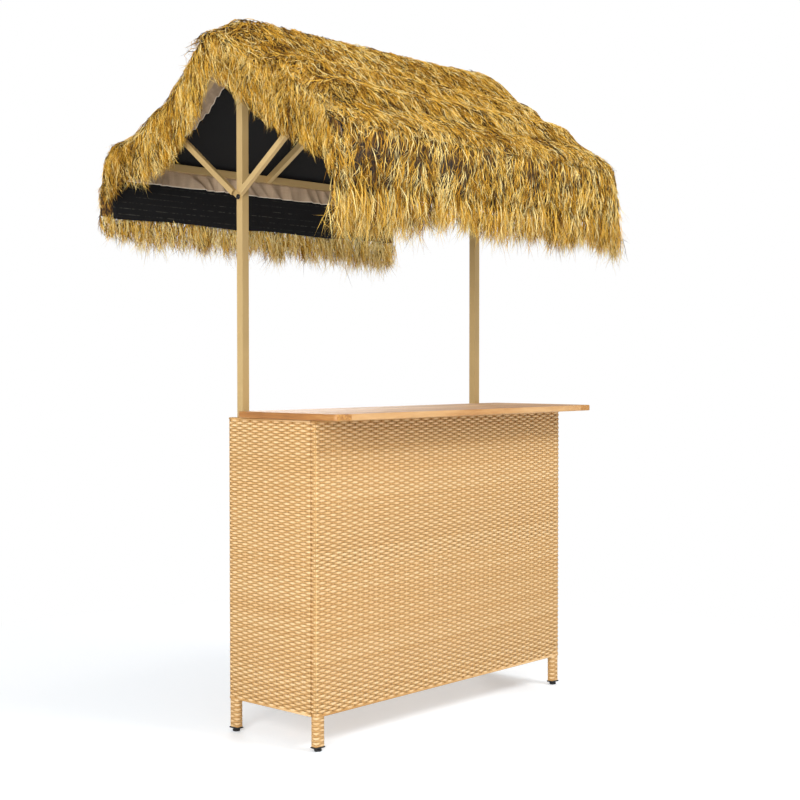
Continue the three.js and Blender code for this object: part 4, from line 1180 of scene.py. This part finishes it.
def grow(spots, normals, rng, length, shift, lift, curl, droop, hang, gather=None):
    """The points along each stem, its tone, whether it is inside the fringe and how far it may hang.
    shift starts a stem that share of its length above its spot, and gather is the axis along which
    hanging stems draw together into pointed tufts."""
    count = len(spots)
    x, y, z = spots.T
    flow, tuft, wide_tuft = headings(spots, normals, rng)
    side = np.cross(normals, flow)
    size = length * rng.uniform(0.6, 1.3, count)
    inner = (z < 1.72) & (np.abs(normals[:, 1]) > 0.3) & (normals[:, 1] * y < 0)
    low = (z < 1.715) & (np.abs(y) > 0.5)
    hang = hang * rng.uniform(0.0, 1.0, count) ** 1.5
    kink = rng.normal(0, 1.0, (STEPS, 2, count))
    upright = np.abs(normals[:, 2]) < 0.35
    raised = np.where(inner, 0.1, lift * rng.uniform(0.4, 1.6, count) * (1 + 0.4 * tuft))
    sunk_by = np.where(upright, SINK_UPRIGHT, SINK_FLAT) - 0.005 * np.clip(wide_tuft, -0.5, 1) - 0.003 * tuft
    sunk_by = np.where(inner, SINK_INNER, sunk_by)
    start = np.where(low, FRINGE_ROOT, size * shift)
    size = np.where(low, np.clip(z + FRINGE_ROOT - fringe_ends(x, y, rng), 0.03, 0.2), size)
    flow = np.where(low[:, None], unit(flow * 0.35 + DOWN), flow)
    sides = at_end(spots, normals)
    place = keep_near(spots - normals * sunk_by[:, None] - flow * start[:, None], 0 * hang, 0.001)
    place = above_roof(place, sides, rng)
    pull = np.zeros_like(place)
    if gather is not None:
        pull[:, gather] = TUFT_PULL * lumps(spots[:, gather] / 0.032 + 11, z / 0.12 + 6, 54)
    centres = [place]
    for step in range(1, STEPS + 1):
        share = step / STEPS
        heading = (flow + normals * (raised * (1 - 1.7 * share))[:, None]
                   + side * (curl * kink[step - 1, 0])[:, None]
                   + normals * (KINK_OFF * curl * kink[step - 1, 1])[:, None]
                   + np.array([0.0, 0.0, -droop * share]))
        place = above_roof(place + unit(heading) * (size / STEPS)[:, None] + pull / STEPS, sides, rng)
        centres.append(keep_near(place, hang))
    streak = lumps(x / 0.028, (y - z) / 0.19, 53)
    # Painted light: the inside of the fringe is much lighter, as if lit through from behind, and stems on
    # upright faces are a little lighter, as if lit from the side.
    tone = 0.5 + 0.18 * streak - 0.1 * tuft + rng.normal(0, 0.35, count) + 0.13 * upright + 0.3 * inner
    return np.stack(centres, 1), tone, inner, hang


def triangle_rings(centres, ahead, normals, thick):
    """Three points round each centre, in the plane across the stem."""
    across = unit(np.cross(ahead, normals))
    lifted = np.cross(across, ahead)
    angle = np.array([0.5, 0.5 + 2 / 3, 0.5 + 4 / 3]) * math.pi
    return centres[..., None, :] + thick[..., None, None] * (across[..., None, :] * np.cos(angle)[:, None]
                                                             + lifted[..., None, :] * np.sin(angle)[:, None])


def column_of(tone):
    return np.clip(np.round(tone * (COLUMNS - 1)), 0, COLUMNS - 1).astype(int)


def stem_mesh(path, normals, tone, inner, rng):
    ahead = unit(np.gradient(path, axis=1))[:, :STEPS]
    thick = STEM_RADIUS * rng.uniform(0.7, 1.3, len(path))[:, None] * TAPER[None]
    rings = triangle_rings(path[:, :STEPS], ahead, np.repeat(normals[:, None], STEPS, 1), thick)
    foot = np.where(inner, INNER_FOOT, 0.0)[:, None]
    level = foot + (1 - foot) * np.arange(STEPS)[None] / STEPS
    return strand_mesh("stems", rings, column_of(tone), tips=path[:, STEPS], level=level)


def fibre_mesh(path, normals, tone, hang, rng):
    """Fine straight fibres that split off each stem."""
    count = len(path) * FIBRES
    stem = np.repeat(np.arange(len(path)), FIBRES)
    where = rng.uniform(0.1, 0.85, count) * STEPS
    step = np.floor(where).astype(int)
    part = (where - step)[:, None]
    before, after, out = path[stem, step], path[stem, step + 1], normals[stem]
    ahead = unit(after - before)
    across = unit(np.cross(ahead, out))
    lean = ahead + across * rng.normal(0, 0.55, count)[:, None] + out * rng.normal(0.04, 0.2, count)[:, None]
    size = np.linalg.norm(after - before, axis=1) * STEPS * rng.uniform(0.3, 0.6, count)
    foot = before * (1 - part) + after * part
    tips = keep_near(above_roof(foot + unit(lean) * size[:, None], at_end(foot, out), rng), hang[stem])
    thick = FIBRE_RADIUS * rng.uniform(0.6, 1.2, count)
    rings = triangle_rings(foot[:, None], unit(tips - foot)[:, None], out[:, None], thick[:, None])
    column = column_of(tone[stem] + rng.normal(0.03, 0.14, count))
    return strand_mesh("fibres", rings, column, tips=tips, level=np.full((count, 1), FIBRE_LEVEL))


def core_of(node, name):
    """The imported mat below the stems: the node's own form, drawn in a little, with shorter teeth."""
    core = copy_of(node, name, soft["raffia_mat"])
    with edit_mode("SELECT"):
        bpy.ops.transform.shrink_fatten(value=-0.002 if "eave" in node or "gable" in node else -0.006)
    if "eave" in node:
        move_points(core, lambda z: z < TEETH_TOP, bpy.ops.transform.resize, value=(1, 1, TEETH_LEFT),
                    center_override=(0, 0, TEETH_TOP))
    core.data.vertices.foreach_set("co", shaped(node, points_of(core.data), MAT_DRAW).ravel())
    core.data.update()
    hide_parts(node)


def make_thatch(node, stems, seed, faces_out, **shape):
    rng = np.random.default_rng(seed)
    spots, normals = outside_points(node, stems, rng, faces_out)
    path, tone, inner, hang = grow(spots, normals, rng, **shape)
    name = node.replace("thatch", "raffia")
    tuft = join_meshes(name, [stem_mesh(path, normals, tone, inner, rng),
                              fibre_mesh(path, normals, tone, hang, rng)], soft["raffia"])
    core_of(node, name + "_mat")
    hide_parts(node)
    return triangles(tuft)


def up_and_out(sign):
    """The upper and outer faces of a slope's tier, its ends, and the inside of the fringe below the valance."""
    def chosen(middle, normal):
        outer = normal[:, 2] * 0.8 + sign * normal[:, 1] * 0.6 > 0.15
        low = middle[:, 2] < FREE
        inside = 2.4 * (low & (sign * normal[:, 1] < -0.3))
        bend = (np.abs(middle[:, 1]) > 0.49) & (middle[:, 2] > 1.76)
        ends = 4.0 * at_end(middle, normal, END_X)
        return np.maximum(np.maximum(outer * (1 + 0.9 * low + 0.6 * bend), ends), inside)
    return chosen


def away_from_gable(sign):
    return lambda middle, normal: (sign * normal[:, 0] > 0.3) | (normal[:, 2] > 0.5)


def upward(middle, normal):
    return np.maximum(normal[:, 2] > 0.1, 4.0 * at_end(middle, normal, END_X))


TIER = dict(length=0.078, shift=0.25, lift=0.3, curl=0.48, droop=0.15, hang=0.02)
EAVE = dict(length=0.078, shift=0.45, lift=0.3, curl=0.36, droop=0.5, hang=0.02, gather=0)
CAP = dict(length=0.075, shift=0.1, lift=0.3, curl=0.5, droop=0.2, hang=0.02)
GABLE = dict(length=0.085, shift=0.6, lift=0.2, curl=0.35, droop=0.6, hang=0.07, gather=1)
total = 0
for side, sign in (("front", -1), ("back", 1)):
    for row, (tier, stems, shape) in enumerate((("upper", 4700, TIER), ("middle", 5200, TIER),
                                                ("eave", 6600, EAVE))):
        total += make_thatch(f"thatch_{side}_{tier}", stems, 60 + row + 5 * sign, up_and_out(sign), **shape)
total += make_thatch("thatch_ridge_cap", 5400, 70, upward, **CAP)
for side, sign in (("left", -1), ("right", 1)):
    total += make_thatch(f"thatch_{side}_gable", 4000, 80 + sign, away_from_gable(sign), **GABLE)
print("thatch", total, "triangles")

# %% [markdown]
# ## Floor, light and background
# A pale floor and a white background keep the eye on the hut, and the floor keeps the soft shadow that
# makes it stand. Three large soft lamps and an even sky light each colour about as it is written.

# %% Studio
FLOOR_GLOW = 0.21   # what the floor adds to its own light for the camera
FADE_FROM, FADE_TO = 0.9, 2.2   # the floor fades to white between these distances from the middle


def add_floor():
    bpy.ops.mesh.primitive_plane_add(size=60, location=(0, 0, 0))
    floor = bpy.context.object
    floor.name = "floor"
    finish = Finish("floor_white", (0.84, 0.88, 0.92), 0.9)
    rays, gloss, through = (finish.node("LightPath", output=f"Is {kind} Ray")
                            for kind in ("Camera", "Glossy", "Transmission"))
    seen = rays + gloss + through
    finish.set("Emission Color", finish.grey(seen * FLOOR_GLOW))
    finish.set("Emission Strength", 1.0)
    spot = finish.node("TexCoord", output="Object")
    reach = finish.node("VectorMath", {0: spot}, output="Value", operation="LENGTH")
    far = finish.clamp(reach, FADE_FROM, FADE_TO) * seen
    glow = finish.node("Emission", {"Color": WHITE, "Strength": 1.0})
    blend = finish.node("MixShader", {0: far, 1: Value(finish, finish.shader.outputs[0]), 2: glow})
    finish.feed(finish.tree.nodes["Material Output"].inputs["Surface"], blend)
    floor.data.materials.append(finish.material)


def add_sky(strength):
    """The camera sees white, and the hut is lit with this strength."""
    world = bpy.data.worlds.new("studio")
    bpy.context.scene.world = world
    world.use_nodes = True
    sky = Nodes(world.node_tree)
    plain = sky.tree.nodes["Background"]
    sky.feed(plain.inputs["Strength"], strength)
    sky.feed(plain.inputs["Color"], WHITE)
    white = sky.node("Background", {"Color": WHITE, "Strength": 1.0})
    rays = sky.node("LightPath", output="Is Camera Ray")
    pick = sky.node("MixShader", {0: rays, 1: Value(sky, plain.outputs[0]), 2: white})
    sky.feed(sky.tree.nodes["World Output"].inputs["Surface"], pick)


def add_lamp(name, place, target, size, watts):
    bpy.ops.object.light_add(type="AREA", location=place)
    lamp = bpy.context.object
    lamp.name = name
    lamp.data.shape, lamp.data.size, lamp.data.size_y = "RECTANGLE", size[0], size[1]
    lamp.data.energy = watts
    lamp.rotation_euler = (Vector(target) - Vector(place)).to_track_quat("-Z", "Y").to_euler()


add_floor()
add_sky(0.5)
add_lamp("key", (1.2, -4.6, 5.0), (0, 0, 1.1), (2.4, 2.0), 182)
add_lamp("side", (-4.9, -2.7, 2.2), (0, 0, 1.2), (3.0, 2.4), 250)
add_lamp("fill", (3.2, 4.6, 3.4), (0, 0, 1.2), (3.0, 2.4), 130)
bpy.context.scene.view_settings.view_transform = "Standard"
print("studio ready")
